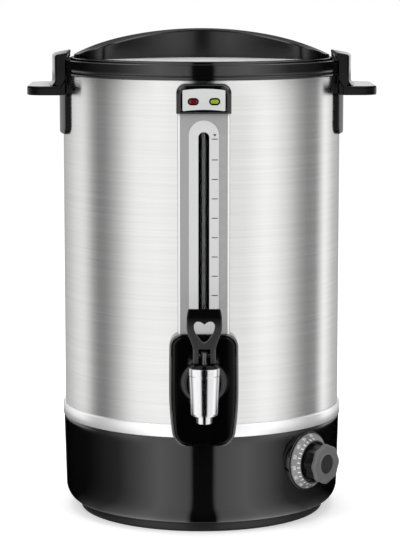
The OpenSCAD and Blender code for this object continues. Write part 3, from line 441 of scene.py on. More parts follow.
@dataclass(frozen=True)
class Finish:
    """A finish that every material is made from.

    Args:
        name: the material's name.
        colour: base colour, linear.
        rough: roughness.
        metal: metallic.
    """

    name: str
    colour: tuple[float, float, float]
    rough: float
    metal: float = 0.0

    def material(self) -> bpy.types.Material:
        """Makes the material on first use and returns it.

        Returns:
            The material.
        """
        known = bpy.data.materials.get(self.name)
        if known is not None and known.get("urn_finish"):
            return known
        made = bpy.data.materials.new(self.name)
        made["urn_finish"] = True
        made.use_nodes = True
        nodes = Nodes(made.node_tree)
        shader = nodes.add("ShaderNodeBsdfPrincipled", {
            "Base Color": self.shade(), "Roughness": self.rough, "Metallic": self.metal})
        nodes.add("ShaderNodeOutputMaterial", {"Surface": shader.outputs[0]})
        self.dress(nodes, shader)
        return made

    def shade(self, factor: float = 1.0, lift: float = 0.0) -> tuple[float, ...]:
        """The base colour made darker or paler, opaque."""
        return (*[min(1.0, factor * c + lift) for c in self.colour], 1.0)

    def tint(self, nodes: Nodes, shader: Node, share: Socket, a: tuple, b: tuple) -> None:
        """Makes the base colour a mix of two colours."""
        nodes.link(nodes.mix(share, a, b), shader.inputs["Base Color"])

    def bump(self, nodes: Nodes, shader: Node, height: Socket, depth: float) -> None:
        """Links a height to the shader's normal, `depth` metres deep."""
        bump = nodes.add("ShaderNodeBump", {"Height": height, "Distance": depth, "Strength": 1.0})
        nodes.link(bump.outputs[0], shader.inputs["Normal"])

    def grain(self, nodes: Nodes, shader: Node, scale: float, depth: float, spread: float) -> Node:
        """Links the fine grain to bump and roughness.

        Args:
            nodes: the material's nodes.
            shader: its Principled BSDF.
            scale: scale of the fine noise.
            depth: depth of the grain, in metres.
            spread: how much a smudge adds to the roughness.
        Returns:
            The group node.
        """
        group = shared(nodes, fine_grain, {"Scale": scale}, ("Height", "Smudge"))
        self.bump(nodes, shader, group.outputs["Height"], depth)
        rough = nodes.ramp(group.outputs["Smudge"], 0.0, 1.0, self.rough, self.rough + spread)
        nodes.link(rough, shader.inputs["Roughness"])
        return group

    def worn(self, nodes: Nodes, shader: Node, amount: float, colour: tuple) -> None:
        """Mixes a paler colour in where the edges are rubbed."""
        mask = shared(nodes, edge_wear, {"Amount": amount}, ("Mask",)).outputs["Mask"]
        self.tint(nodes, shader, mask, self.shade(), colour)

    def dress(self, nodes: Nodes, shader: Node) -> None:
        """Adds the finish's own detail; the plain one has a faint grain."""
        self.grain(nodes, shader, 900.0, 0.00001, 0.06)


@dataclass(frozen=True)
class GlossPlastic(Finish):
    """Polished moulded plastic with smudges and pale edges.

    Args:
        index: index of refraction, which sets how strongly it mirrors.
        wear: how much the edges are rubbed.
    """

    index: float = 1.65
    wear: float = 0.25

    def dress(self, nodes: Nodes, shader: Node) -> None:
        """Adds smudges to the gloss and a slight rub to the edges.

        Args:
            nodes: the material's nodes.
            shader: its Principled BSDF.
        """
        self.grain(nodes, shader, 500.0, 0.0000008, 0.04)
        self.worn(nodes, shader, self.wear, (0.03, 0.03, 0.031, 1.0))
        shader.inputs["IOR"].default_value = self.index


@dataclass(frozen=True)
class SatinPlastic(Finish):
    """Moulded plastic with a fine spark-eroded grain.

    Args:
        depth: depth of the grain, in metres.
        spread: how much a smudge adds to the roughness.
        level: specular level.
    """

    depth: float = 0.00002
    spread: float = 0.08
    level: float = 0.5

    def dress(self, nodes: Nodes, shader: Node) -> None:
        """Adds the grain and rubbed edges.

        Args:
            nodes: the material's nodes.
            shader: its Principled BSDF.
        """
        self.grain(nodes, shader, 2200.0, self.depth, self.spread)
        self.worn(nodes, shader, 0.3, self.shade(1.15, 0.02))
        shader.inputs["Specular IOR Level"].default_value = self.level


@dataclass(frozen=True)
class ShadedTopPolishedPlastic(SatinPlastic):
    """Satin plastic whose upper end is polished smoother and painted darker as shade.

    Args:
        low: height where the polish starts, in metres.
        high: height where it is full.
        polished: share of the roughness that is left there.
        deep: base colour there, a painted shade.
    """

    low: float = 0.211
    high: float = 0.224
    polished: float = 0.3
    deep: tuple[float, float, float] = (0.002, 0.002, 0.0022)

    def dress(self, nodes: Nodes, shader: Node) -> None:
        """Adds the grain, then by the height mixes roughness towards the polished end and colour towards the
        painted shade.

        Args:
            nodes: the material's nodes.
            shader: its Principled BSDF.
        """
        super().dress(nodes, shader)
        # The darker colour at the upper end is painted shade; the lower roughness there is the polish.
        height = nodes.add("ShaderNodeSeparateXYZ", {0: nodes.place()}).outputs[2]
        share = nodes.ramp(height, self.low, self.high)
        ends = (("Base Color", "RGBA", (*self.deep, 1.0)), ("Roughness", "FLOAT", self.rough * self.polished))
        for key, kind, end in ends:
            start = shader.inputs[key].links[0].from_socket
            nodes.link(nodes.mix(share, start, end, kind), shader.inputs[key])


@dataclass(frozen=True)
class BrushedMetal(Finish):
    """Sheet metal brushed round the urn.

    Args:
        depth: depth of the scratches, in metres.
        anisotropy: how far they stretch a highlight.
    """

    depth: float = 0.000004
    anisotropy: float = 0.5

    def dress(self, nodes: Nodes, shader: Node) -> None:
        """Adds the brush lines to bump, tone and roughness.

        Args:
            nodes: the material's nodes.
            shader: its Principled BSDF.
        """
        group = shared(nodes, brushed_lines, {}, ("Lines", "Bands"))
        lines, bands = group.outputs["Lines"], group.outputs["Bands"]
        self.bump(nodes, shader, lines, self.depth)
        rough = nodes.ramp(lines, 0.3, 0.7, self.rough - 0.05, self.rough + 0.07)
        nodes.link(rough, shader.inputs["Roughness"])
        self.tint(nodes, shader, nodes.math("MULTIPLY", bands, lines), self.shade(0.93), self.shade(1.06))
        shader.inputs["Anisotropic"].default_value = self.anisotropy
        shader.inputs["Anisotropic Rotation"].default_value = 0.25
        tangent = nodes.add("ShaderNodeTangent", direction_type="RADIAL", axis="Z")
        nodes.link(tangent.outputs[0], shader.inputs["Tangent"])


@dataclass(frozen=True)
class PolishedMetal(Finish):
    """Plated or polished metal with faint haze."""

    def dress(self, nodes: Nodes, shader: Node) -> None:
        """Adds haze to the gloss."""
        self.grain(nodes, shader, 700.0, 0.0000008, 0.05)


@dataclass(frozen=True)
class Rubber(Finish):
    """Dull rubber with a dusty bloom."""

    def dress(self, nodes: Nodes, shader: Node) -> None:
        """Adds grain, and a pale bloom where the smudge noise is high."""
        group = self.grain(nodes, shader, 1500.0, 0.00003, 0.1)
        self.tint(nodes, shader, group.outputs["Smudge"], self.shade(), self.shade(1.3, 0.01))


@dataclass(frozen=True)
class Felt(Finish):
    """Needled fibre: a soft deep noise."""

    def dress(self, nodes: Nodes, shader: Node) -> None:
        """Adds the fibres as bump and tone."""
        group = self.grain(nodes, shader, 700.0, 0.0006, 0.1)
        self.tint(nodes, shader, group.outputs["Height"], self.shade(0.75), self.shade())


@dataclass(frozen=True)
class LampLens(Finish):
    """Coloured lens with a ribbed inside that shows as fine darker bands."""

    def dress(self, nodes: Nodes, shader: Node) -> None:
        """Adds the ribs by a wave across the lens, and a clear coat.

        Args:
            nodes: the material's nodes.
            shader: its Principled BSDF.
        """
        wave = nodes.add("ShaderNodeTexWave", {
            "Vector": nodes.place(), "Scale": 260.0, "Distortion": 0.4}, bands_direction="X")
        self.tint(nodes, shader, wave.outputs["Fac"], self.shade(0.6), self.shade())
        shader.inputs["Coat Weight"].default_value = 0.6
        shader.inputs["Coat Roughness"].default_value = 0.05


@dataclass(frozen=True)
class GaugeGlass(Finish):
    """Clear glass tube with faint limescale."""

    def dress(self, nodes: Nodes, shader: Node) -> None:
        """Makes the shader transmit, and hazes it by a noise.

        Args:
            nodes: the material's nodes.
            shader: its Principled BSDF.
        """
        self.grain(nodes, shader, 300.0, 0.000001, 0.08)
        shader.inputs["Transmission Weight"].default_value = 1.0
        shader.inputs["IOR"].default_value = 1.47


class Look:
    """The finishes of this urn."""

    GLOSS_BLACK = GlossPlastic("gloss_black_plastic", (0.003, 0.003, 0.0032), 0.06)
    ARCH_BLACK = GlossPlastic("lid_black_plastic", (0.003, 0.003, 0.0032), 0.2, index=1.5)
    SHIELD_BLACK = GlossPlastic("shield_black_plastic", (0.0025, 0.0025, 0.0027), 0.05, index=2.2)
    BOSS_BLACK = GlossPlastic("boss_black_plastic", (0.001, 0.001, 0.0011), 0.08, index=1.55, wear=0.1)
    PAD_BLACK = GlossPlastic("shield_pad_plastic", (0.001, 0.001, 0.0011), 0.07, index=1.3, wear=0.1)
    BRACKET_BLACK = GlossPlastic("bracket_black_plastic", (0.002, 0.002, 0.0022), 0.06, index=1.25, wear=0.15)
    SATIN_BLACK = SatinPlastic("satin_black_plastic", (0.006, 0.006, 0.0064), 0.36, level=0.3)
    # The lever's upper end is painted darker as shade.
    LEVER_BLACK = ShadedTopPolishedPlastic("lever_black_plastic", (0.024, 0.024, 0.025), 0.34)
    KNOB_GREY = SatinPlastic("knob_grey_plastic", (0.11, 0.11, 0.113), 0.42)
    KNOB_DARK = SatinPlastic("knob_dark_disc", (0.022, 0.022, 0.023), 0.42, level=0.3)
    KNOB_BLACK = SatinPlastic("knob_black_plastic", (0.006, 0.006, 0.0064), 0.2)
    DIAL_SILVER = SatinPlastic("dial_silver_face", (0.24, 0.24, 0.243), 0.3, 0.75, depth=0.000006)
    PANEL_GREY = SatinPlastic(
        "panel_grey_plastic", (0.30, 0.30, 0.305), 0.4, depth=0.000004, spread=0.02, level=0.3)
    SCALE_GREY = SatinPlastic(
        "scale_grey_print", (0.56, 0.56, 0.56), 0.45, depth=0.000004, spread=0.02, level=0.2)
    SILVER = SatinPlastic("silver_print", (0.53, 0.54, 0.54), 0.4, depth=0.000004, spread=0.02, level=0.3)
    # A pale colour for the panel's bevels that stands in for their highlight: a painted highlight.
    PAINTED_BEVEL_HIGHLIGHT = SatinPlastic("painted_bevel_highlight", (0.78, 0.78, 0.78), 0.35, depth=0.000004, spread=0.02)
    INK = SatinPlastic("dark_ink", (0.02, 0.02, 0.02), 0.5)
    PALE_INK = SatinPlastic("pale_ink", (0.80, 0.80, 0.80), 0.5)
    JACKET = BrushedMetal("brushed_jacket", (0.72, 0.72, 0.715), 0.22, 1.0, anisotropy=0.65)
    LID_STEEL = BrushedMetal("lid_steel", (0.66, 0.66, 0.655), 0.45, 0.35, anisotropy=0.3)
    SHEET = BrushedMetal("plain_sheet_steel", (0.62, 0.62, 0.61), 0.33, 1.0)
    BAND = PolishedMetal("polished_band", (0.90, 0.90, 0.90), 0.22, 0.65)
    CHROME = PolishedMetal("tap_chrome", (0.76, 0.76, 0.77), 0.15, 1.0)
    STEM_STEEL = PolishedMetal("stem_steel", (0.35, 0.35, 0.36), 0.3, 1.0)
    FOOT_RUBBER = Rubber("foot_rubber", (0.005, 0.005, 0.005), 0.5)
    SEAL = Rubber("seal_silicone", (0.6, 0.56, 0.5), 0.5)
    FELT = Felt("insulation_felt", (0.75, 0.72, 0.65), 0.95)
    ALUMINIUM = PolishedMetal("cast_aluminium", (0.6, 0.6, 0.62), 0.42, 1.0)
    COPPER = PolishedMetal("copper_capillary", (0.78, 0.42, 0.26), 0.3, 1.0)
    IVORY = SatinPlastic("ivory_moulding", (0.66, 0.63, 0.54), 0.45)
    RED = LampLens("red_lens", (0.17, 0.002, 0.008), 0.14)
    GREEN = LampLens("green_lens", (0.30, 0.42, 0.012), 0.14)
    GLASS = GaugeGlass("gauge_glass", (0.96, 0.98, 0.98), 0.02)


# ---- Pieces ------------------------------------------------------------------------------------


def placed(name: str, points: Array, faces: list) -> bpy.types.Object:
    """Makes an object out of points in metres and faces, and puts it in the scene.

    Args:
        name: the object's name.
        points: array of points.
        faces: lists of point indices.
    Returns:
        The object.
    """
    mesh = bpy.data.meshes.new(name)
    mesh.from_pydata(points, [], faces)
    mesh.update()
    made = bpy.data.objects.new(name, mesh)
    bpy.context.scene.collection.objects.link(made)
    return made


def tidy_mesh(mesh: bpy.types.Mesh, angle: float) -> None:
    """Welds seams and poles, turns the faces outwards and smooths all but the sharp edges.

    Args:
        mesh: the mesh, which is changed in place.
        angle: edges sharper than this many degrees stay crisp.
    """
    work = bmesh.new()
    work.from_mesh(mesh)
    bmesh.ops.remove_doubles(work, verts=work.verts, dist=2e-7)
    bmesh.ops.dissolve_degenerate(work, edges=work.edges, dist=1e-7)
    bmesh.ops.recalc_face_normals(work, faces=work.faces)
    work.to_mesh(mesh)
    work.free()
    mesh.shade_smooth()
    mesh.set_sharp_from_angle(angle=math.radians(angle))


def dressed(
    made: bpy.types.Object, finish: Finish, replaces: Sequence[str] = (), body: Body = Body.URN,
) -> bpy.types.Object:
    """Gives an object its finish and its place in the frame.

    Args:
        made: the object.
        finish: what it is made of.
        replaces: frame nodes that it stands for.
        body: the body that carries it.
    Returns:
        The object.
    """
    made.data.materials.append(finish.material())
    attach(made, body.value)
    if replaces:
        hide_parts(*replaces)
    LOG.info("%s: %d faces on %s", made.name, len(made.data.polygons), body.value)
    return made


def piece(
    name: str, sheets: Sequence[Sheet], finish: Finish, replaces: Sequence[str] = (),
    body: Body = Body.URN, angle: float = 32.0,
) -> bpy.types.Object:
    """Makes one piece out of sheets and rides it on its body.

    Args:
        name: the piece's name.
        sheets: its sheets, in millimetres.
        finish: what it is made of.
        replaces: frame nodes that it stands for.
        body: the body that carries it.
        angle: edges sharper than this many degrees stay crisp.
    Returns:
        The new object, at the origin.
    """
    points, faces, start = [], [], 0
    for sheet in sheets:
        points.append(sheet.points.reshape(-1, 3) * MM)
        faces += sheet.faces(start)
        start += len(points[-1])
    made = placed(name, np.vstack(points), faces)
    tidy_mesh(made.data, angle)
    return dressed(made, finish, replaces, body)


@dataclass
class Shell:
    """Jacket, polished band, plinth and foot.

    Args:
        radius: outer radius of the jacket.
        plinth_top: height of the plinth's top edge.
        jacket_top: height of the jacket's rim under the collar.
        plinth_radius: radius of the plinth at its top.
        plinth_low: radius of the plinth above its lower corner.
        foot: height of the foot ring.
        band: height of the polished band.
        corner: depth and height of the plinth's round lower corner.
        wall: wall of the plinth.
        foot_radii: inner and outer radius of the foot ring.
        boss_radius: radius of the pad behind the dial.
        boss_front: distance of its face from the axis.
        knob_azimuth: direction of the pad.
        knob_height: height of the pad.
        recess: half width, lower and upper edge and depth of the recess at the back.
        inlet_hole: half width, lower and upper edge of the hole in it.
        columns: number of columns across the recess.
    """

    radius: float = 140.0
    plinth_top: float = 98.0
    jacket_top: float = 451.2
    plinth_radius: float = 141.4
    plinth_low: float = 139.6
    foot: float = 9.0
    band: float = 12.4
    corner: tuple[float, float] = (12.6, 17.0)
    wall: float = 3.0
    foot_radii: tuple[float, float] = (118.0, 124.5)
    boss_radius: float = 29.25
    boss_front: float = 143.0
    knob_azimuth: float = 47.0
    knob_height: float = 65.0
    recess: tuple[float, float, float, float] = (20.1, 34.8, 65.2, 138.0)
    inlet_hole: tuple[float, float, float] = (13.9, 40.0, 60.0)
    columns: int = 9

    def jacket(self) -> None:
        """Turns the steel sheet: a thin closed band."""
        r, z0, z1 = self.radius, self.plinth_top, self.jacket_top
        profile = rounded([(r - 0.8, z0), (r, z0), (r, z1), (r - 0.8, z1)], 0.1, steps=2)
        piece("jacket", [turned(profile, segments=288)], Look.JACKET, ["outer_shell"])

    def trim(self) -> None:
        """Turns the polished band above the plinth, with a rolled top edge."""
        r, z, h = self.radius, self.plinth_top, self.band
        profile = rounded(
            [(r + 0.06, z), (r + 2.2, z), (r + 2.3, z + h - 1.6), (r + 1.4, z + h), (r + 0.06, z + h)],
            [0.1, 0.2, 0.9, 0.5, 0.1])
        piece("polished_band", [turned(profile, segments=288)], Look.BAND, ["trim_ring"])

    def wall_at(self, z: Sequence, depth: float = 0.0) -> Array:
        """Profile points of the plinth's leaning wall at given heights, `depth` inside its surface."""
        heights = [self.foot + self.corner[1], self.plinth_top - 4]
        return points_of(np.interp(z, heights, [self.plinth_low, self.plinth_radius]) - depth, z)

    def corner_at(self, a: Array, depth: float = 0.0) -> Array:
        """Profile points of the lower corner: an ellipse's quarter, `depth` smaller."""
        wide, high = self.corner
        return points_of(
            self.plinth_low - wide + (wide - depth) * np.cos(a),
            self.foot + high - (high - depth) * np.sin(a))

    def plinth(self) -> None:
        """Turns the plinth with a window for the inlet, and adds the knob's pad and the recess.

        The outside is a quarter of an ellipse below a slightly leaning wall. The columns are moved so
        that two of them run along the window's upright edges, and the faces between are left out.
        """
        w, low, high, back = self.recess
        top, r, n = self.plinth_top, self.plinth_radius, self.columns
        a = quarter(12)
        outside = [30.0, low, 42.0, 50.0, 58.0, high, 75.0, 85.0, top - 4]
        inside = [82.0, high, low, 27.0]
        lip = rounded([
            (r, top - 4), (r, top), (139.1, top), (139.1, top + 6), (136.1, top + 6), (136.1, top - 8)],
            [0.1, 0.7, 0.1, 0.5, 0.5, 0.1], closed=False)[1:]
        hole = self.foot_radii[0] - 7
        profile = np.vstack([
            [(hole, self.foot)], self.corner_at(a[::-1]), self.wall_at(outside), lip,
            self.wall_at(inside, self.wall), self.corner_at(a, self.wall), [(hole, self.foot + self.wall)]])
        edge = math.asin(w / self.radius)
        t = QUARTER + np.concatenate([np.linspace(-edge, edge, n), np.linspace(edge, TURN - edge, 263)[1:-1]])
        grid = points_of(profile[:, :1] * np.cos(t), profile[:, :1] * np.sin(t), profile[:, 1:])
        first = 1 + len(a)
        outer_low, outer_high = first + outside.index(low), first + outside.index(high)
        first += len(outside) + len(lip)
        inner_low, inner_high = first + inside.index(low), first + inside.index(high)
        middle = grid[:, :n]
        around = np.concatenate([grid[:, n - 1:], grid[:, :1]], axis=1)
        sheets = [Sheet(around, wrap_rows=True, wrap_cols=False)]
        sheets += [Sheet(rows, wrap_cols=False) for rows in (
            middle[: outer_low + 1], middle[outer_high: inner_high + 1],
            np.concatenate([middle[inner_low:], middle[:1]]))]
        window = np.concatenate([
            middle[outer_low], middle[outer_low: outer_high + 1, -1], middle[outer_high, ::-1],
            middle[outer_high:outer_low - 1:-1, 0]])
        flat = window.copy()
        flat[:, 0] = np.clip(flat[:, 0], -w, w)
        flat[:, 1] = back
        half, z0, z1 = self.inlet_hole
        front = flat.copy()
        front[:, 0] *= half / w
        front[:, 2] = z0 + (flat[:, 2] - low) * (z1 - z0) / (high - low)
        sheets += [Sheet(np.stack([window, flat, front, front - [0, 2, 0]])), self.pad()]
        piece("plinth", sheets, Look.GLOSS_BLACK, ["base_housing"])

    def pad(self) -> Sheet:
        """The round pad behind the dial: a flat front and a straight side that runs into the wall.

        Returns:
            The turned sheet.
        """
        r = self.boss_radius
        profile = rounded([
            (5.1, 134), (5.1, self.boss_front), (r, self.boss_front), (r + 0.6, 133), (12, 132)],
            [0.1, 0.3, 0.8, 0.5, 0.1])
        return turned_at(profile, self.knob_azimuth, self.knob_height, 96)

    def ring_foot(self) -> None:
        """Turns the rubber foot ring with its groove underneath."""
        r0, r1 = self.foot_radii
        m = (r0 + r1) / 2
        profile = rounded([
            (r0, 0), (m - 1, 0), (m - 1, 1.5), (m + 1, 1.5), (m + 1, 0), (r1, 0), (r1, self.foot),
            (r0, self.foot)], [1.0, 0.3, 0.3, 0.3, 0.3, 1.2, 0.4, 0.4])
        piece("foot", [turned(profile, segments=240)], Look.FOOT_RUBBER, ["foot_ring"])

    def build(self) -> None:
        """Builds the four pieces."""
        for make in (self.jacket, self.trim, self.plinth, self.ring_foot):
            make()


@dataclass
class Lid:
    """Collar, lid rim, steel disc and the arched handle.

    Args:
        collar_z: underside of the collar.
        collar_top: top of the collar.
        collar_r: outer radius of its lip.
        lid_z: top of the lid's disc.
        disc_r: radius of the disc.
        rim_r: outer radius of the lid's black rim.
        arch_rise: height of the arched handle's crown over the disc.
        arch_half: half of its length.
        arch_waist: its half width in the middle.
        arch_end: half width that its parabola would reach at the ends.
        arch_clip: radius of the circle that cuts the parabola off.
        arch_tip: height of its ends over the disc.
    """

    collar_z: float = 444.2
    collar_top: float = 459.4
    collar_r: float = 142.4
    lid_z: float = 461.4
    disc_r: float = 118.5
    rim_r: float = 132.7
    arch_rise: float = 28.0
    arch_half: float = 128.5
    arch_waist: float = 22.0
    arch_end: float = 113.0
    arch_clip: float = 129.2
    arch_tip: float = 2.6

    def collar(self) -> None:
        """Turns the black collar with its lower lip and inner ledge."""
        r, z, top, ledge = self.collar_r, self.collar_z, self.collar_top, 133.2
        profile = rounded([
            (140.06, z), (r, z), (r, z + 3.1), (r - 0.75, z + 3.7), (r - 0.75, z + 4.1), (r - 0.2, z + 4.7),
            (r - 0.3, top), (ledge, top), (ledge, top - 3.2), (127, top - 3.2), (127, top - 7.4),
            (140.06, top - 7.4)], [0.2, 0.9, 0.7, 0.3, 0.3, 0.4, 1.0, 0.9, 0.3, 0.5, 0.2, 0.1])
        piece("collar", [turned(profile, segments=288)], Look.GLOSS_BLACK, ["top_collar"])

    def rim(self) -> None:
        """Turns the lid's black rim."""
        z, r0, r1 = self.lid_z, self.disc_r, self.rim_r
        profile = rounded([
            (r0, z), (r1, z), (r1, 456.3), (124.5, 456.3), (124.5, 459.4), (r0 + 2.5, 459.4),
            (r0 + 2.5, z - 1.2), (r0, z - 1.2)], [0.5, 1.0, 0.5, 0.2, 0.2, 0.2, 0.2, 0.2])
        sheet = turned(profile, segments=288)
        piece("lid_rim", [sheet], Look.GLOSS_BLACK, ["lid_cover"], Body.LID)

    def disc(self) -> None:
        """Turns the steel disc with its stepped edge: an open profile from axis to axis."""
        z, r = self.lid_z, self.disc_r - 0.2
        profile = np.vstack([
            [(0, z), (40, z), (80, z)], rounded([(0, z), (r, z), (r, z - 2)], [0, 0.3, 0], closed=False)[1:],
            [(r + 2.6, z - 2), (r - 0.8, z - 2), (r - 0.8, z - 0.8), (0, z - 0.8)]])
        sheet = turned(profile, closed=False, segments=240)
        piece("lid_plate", [sheet], Look.LID_STEEL, ["lid_disc"], Body.LID)

    def half_width(self, x: Array) -> Array:
        """Half width of the arch: a parabola that passes softly into the rim circle near the ends.

        Args:
            x: distances from the middle.
        Returns:
            The half widths.
        """
        flare = self.arch_waist + (self.arch_end - self.arch_waist) * (x / self.arch_half) ** 2
        clip = np.sqrt(np.maximum(self.arch_clip ** 2 - x ** 2, 0.5))
        blend = np.clip((clip - flare) / 44, -1, 1)
        soft = np.where(np.abs(blend) < 1, 11 * (1 - np.abs(blend)) ** 2, 0)
        return np.minimum(flare, clip) - np.minimum(soft, 0.4 * clip)

    def arch(self) -> None:
        """Sweeps the arched handle: at each x a rounded section stands on the disc under a circular arc.

        The arc has its crown in the middle; a section's two top corners are rounded, its width follows
        half_width, and its foot stands back a little behind the face.
        """
        drop = self.arch_rise - self.arch_tip
        r = (self.arch_half ** 2 + drop ** 2) / (2 * drop)
        turn = math.asin(0.9995 * self.arch_half / self.arch_clip)
        x = self.arch_clip * np.sin(np.linspace(-1, 1, 161) * turn)
        t = (self.lid_z + self.arch_rise - r + np.sqrt(r ** 2 - x ** 2))[:, None]
        w, low = self.half_width(x)[:, None], np.full((len(x), 1), self.lid_z)
        s = quarter(7)
        soft = np.minimum(2.2, 0.4 * (t - low))
        across = np.linspace(-1, 1, 15)[None, 1:-1]
        left_y, left_z = -w + soft * (1 - np.cos(s)), t - soft + soft * np.sin(s)
        foot = low + np.minimum(2.4, 0.45 * (t - soft - low))
        back = w - np.minimum(1.4, 0.15 * w)
        middle = 0.5 * (foot + t - soft)
        y = np.hstack([-back, -back, -w, -w, left_y, (w - soft) * across, -left_y[:, ::-1], w, w, back, back])
        z = np.hstack([
            low, foot, foot + 0.2, middle, left_z, t + 0 * across, left_z[:, ::-1], middle, foot + 0.2, foot,
            low])
        sheet = solid(points_of(x[:, None], y, z))
        piece("lid_arch", [sheet], Look.ARCH_BLACK, ["lid_handle"], Body.LID, angle=40)

    def build(self) -> None:
        """Builds the collar and the lid."""
        for make in (self.collar, self.rim, self.disc, self.arch):
            make()


@dataclass
class SideHandle:
    """One carrying bracket: plate and leg on the jacket, post with its hook, and the grip.

    Args:
        side: 1 for the right one, -1 for the left one.
        radius: radius of the plate's back, just outside the jacket.
        plate: thickness of the plate.
        plate_curve: pairs of height and half width of the swelling plate.
        leg_half: half width of the leg.
        leg_low: height of its lower edge.
        leg_corner: radius of its lower corners.
        plate_top: height of the plate's upper edge.
        grip_z: underside of the grip.
        grip_top: top of the grip.
        grip_reach: how far the grip reaches from the axis.
        grip_half: half width of the grip.
        grip_corner: radius of its corners.
        post_half: half width of the post.
        post_r: distance of the post's face from the axis.
        collar_r: radius of the collar that the hook's lip follows.
    """

    side: int
    radius: float = 140.1
    plate: float = 3.7
    plate_curve: tuple = ((424, 47), (427.5, 50.5), (431, 51.5), (436, 50), (440, 48), (444.1, 46.5))
    leg_half: float = 47.0
    leg_low: float = 385.6
    leg_corner: float = 10.0
    plate_top: float = 444.1
    grip_z: float = 425.0
    grip_top: float = 434.0
    grip_reach: float = 174.5
    grip_half: float = 50.0
    grip_corner: float = 15.0
    post_half: float = 45.1
    post_r: float = 151.0
    collar_r: float = 142.0

    def outline_half(self, z: Array) -> Array:
        """Half width of plate and leg at a height: round lower corners, a soft step, the swelling plate.

        Args:
            z: heights.
        Returns:
            The half widths.
        """
        c = self.leg_corner
        below = np.clip(self.leg_low + c - z, 0, c)
        leg = self.leg_half - c + np.sqrt(np.maximum(c ** 2 - below ** 2, 0))
        at, half = np.array(self.plate_curve, float).T
        return np.where(z < at[0], leg, np.interp(z, at, half))

    def plate_sheets(self) -> list[Sheet]:
        """Lays a soft-edged plate on the jacket.

        Rows run up the outline and columns across it. Near an edge the plate's surface falls away in a
        quarter circle: its lift is sqrt(e^2 - (e - d)^2) at a distance d inside the edge.

        Returns:
            Front, back and the four edges.
        """
        e = 1.6
        near = np.array([0.0, 0.1, 0.35, 0.8, 1.3, e])
        z = np.concatenate([
            self.leg_low + near, self.leg_low + np.linspace(2.2, 12, 9), np.linspace(403, 422, 4),
            [424, 425.2, 426.4, 427.5, 429, 431, 433.5, 436, 438, 440], self.plate_top - near[::-1]])
        half = self.outline_half(z)
        half[0] = half[1]
        inner = np.linspace(-1, 1, 25)[1:-1]
        y = np.stack([np.concatenate([-h + near, inner * max(h - e, 1.0), h - near[::-1]]) for h in half])
        z = z[:, None]
        d = np.clip(np.minimum(half[:, None] - np.abs(y), np.minimum(z - z[0], z[-1] - z)), 0, e)
        lift = self.plate - e + np.sqrt(np.maximum(e ** 2 - (e - d) ** 2, 0))
        angle = y / self.radius
        front, back = (
            points_of(r * np.cos(angle), r * np.sin(angle), z) for r in (self.radius + lift, self.radius))
        edges = [
            np.stack([back[:, 0], front[:, 0]], axis=1), np.stack([front[:, -1], back[:, -1]], axis=1),
            np.stack([back[0], front[0]]), np.stack([front[-1], back[-1]])]
        return [Sheet(rows, wrap_cols=False) for rows in [front, back[:, ::-1]] + edges]

    def post_sheet(self) -> Sheet:
        """Sweeps the post's section sideways; its two ends shrink by a quarter circle.

        At a distance y from the middle the inner faces follow the jacket and the collar, so they stand at
        sqrt(r^2 - y^2); the outer face is nearly flat, at r - y^2 / 380; the hook's lip is straight. One
        more ring in the plane of each end keeps its flat face evenly shaded.

        Returns:
            The sheet, closed at both ends.
        """
        b, p = self.radius, self.post_r
        section = rounded([
            (b, 425), (p, 425), (p, 434), (p + 3.2, 434.2), (p, 438.6), (p, 463.4), (p - 1.6, 465.2),
            (135.4, 466.9), (134.2, 466.5), (134.2, 463.9), (136.0, 463.3), (137.5, 459.7), (142.5, 459.7),
            (142.5, 444.1), (b, 444.1)],
            [0.3, 1.0, 0.2, 0.2, 3.0, 1.8, 1.6, 1.0, 0.8, 0.6, 1.2, 0.8, 0.2, 0.2, 0.3])
        e, half = 1.2, self.post_half
        s = quarter(5)
        edge, into = e * (1 - np.sin(s)), e * (1 - np.cos(s))
        sides = np.concatenate([
            [-half], -half + into, np.linspace(-half, half, 26)[1:-1], (half - into)[::-1], [half]])
        insets = np.concatenate([[e + 0.3], edge, np.zeros(24), edge[::-1], [e + 0.3]])
        rows = []
        for y, d in zip(sides, insets):
            r, z = inset(section, d).T
            hook = np.minimum(r, math.sqrt(self.collar_r ** 2 - y ** 2))
            x = np.where(r < 139.5, hook, np.where(r > 145, r - y ** 2 / 380, np.sqrt(r ** 2 - y ** 2)))
            rows.append(points_of(x, y, z))
        return solid(rows)

    def grip_sheets(self) -> list[Sheet]:
        """Sweeps the grip's edge section along its outline and closes its top and its hollow.

        The outline runs out, round two corners and back in. A section point at (d, z) lies d inside
        the outline at height z.

        Returns:
            The edge and the three ribs.
        """
        c, h, reach = self.grip_corner, self.grip_half, self.grip_reach
        s = np.linspace(-QUARTER, 0, 12)
        low = points_of(reach - c + c * np.cos(s), -h + c + c * np.sin(s))
        path = np.vstack([[(140.5, -h), (150, -h)], low, low[::-1] * [1, -1], [(150, h), (140.5, h)]])
        t = np.gradient(path, axis=0)
        t /= np.linalg.norm(t, axis=1)[:, None]
        normal = points_of(-t[:, 1], t[:, 0])
        z0, z1 = self.grip_z, self.grip_top
        shell = [(2.4, z1 - 2.4), (2.4, z0), (0, z0), (0, z1), (3.4, z1)]
        section = np.vstack([
            [(3.4, z1 - 2.4), (2.6, z1 - 2.4)], rounded(shell, [0, 0.7, 1.2, 2.6, 0], closed=False)])
        edge = solid([points_of(*(path + normal * d).T, z) for d, z in section])
        return [edge] + [self.rib(y) for y in (-24.0, 0.0, 24.0)]

    def rib(self, y: float) -> Sheet:
        """One rib of the grip's hollow underside: a long box with soft lower edges."""
        loop = rounded([(-1, 425.4), (1, 425.4), (1, 432), (-1, 432)], [0.6, 0.6, 0.1, 0.1])
        return solid([points_of(x, loop[:, 0] + y, loop[:, 1]) for x in (150.5, 160.0, 172.6)])

    def build(self) -> None:
        """Builds the bracket in one piece."""
        sheets = self.plate_sheets() + [self.post_sheet()] + self.grip_sheets()
        name = "right" if self.side > 0 else "left"
        if self.side < 0:
            sheets = [mirrored(s) for s in sheets]
        piece(f"bracket_{name}", sheets, Look.BRACKET_BLACK, [f"handle_{name}"])


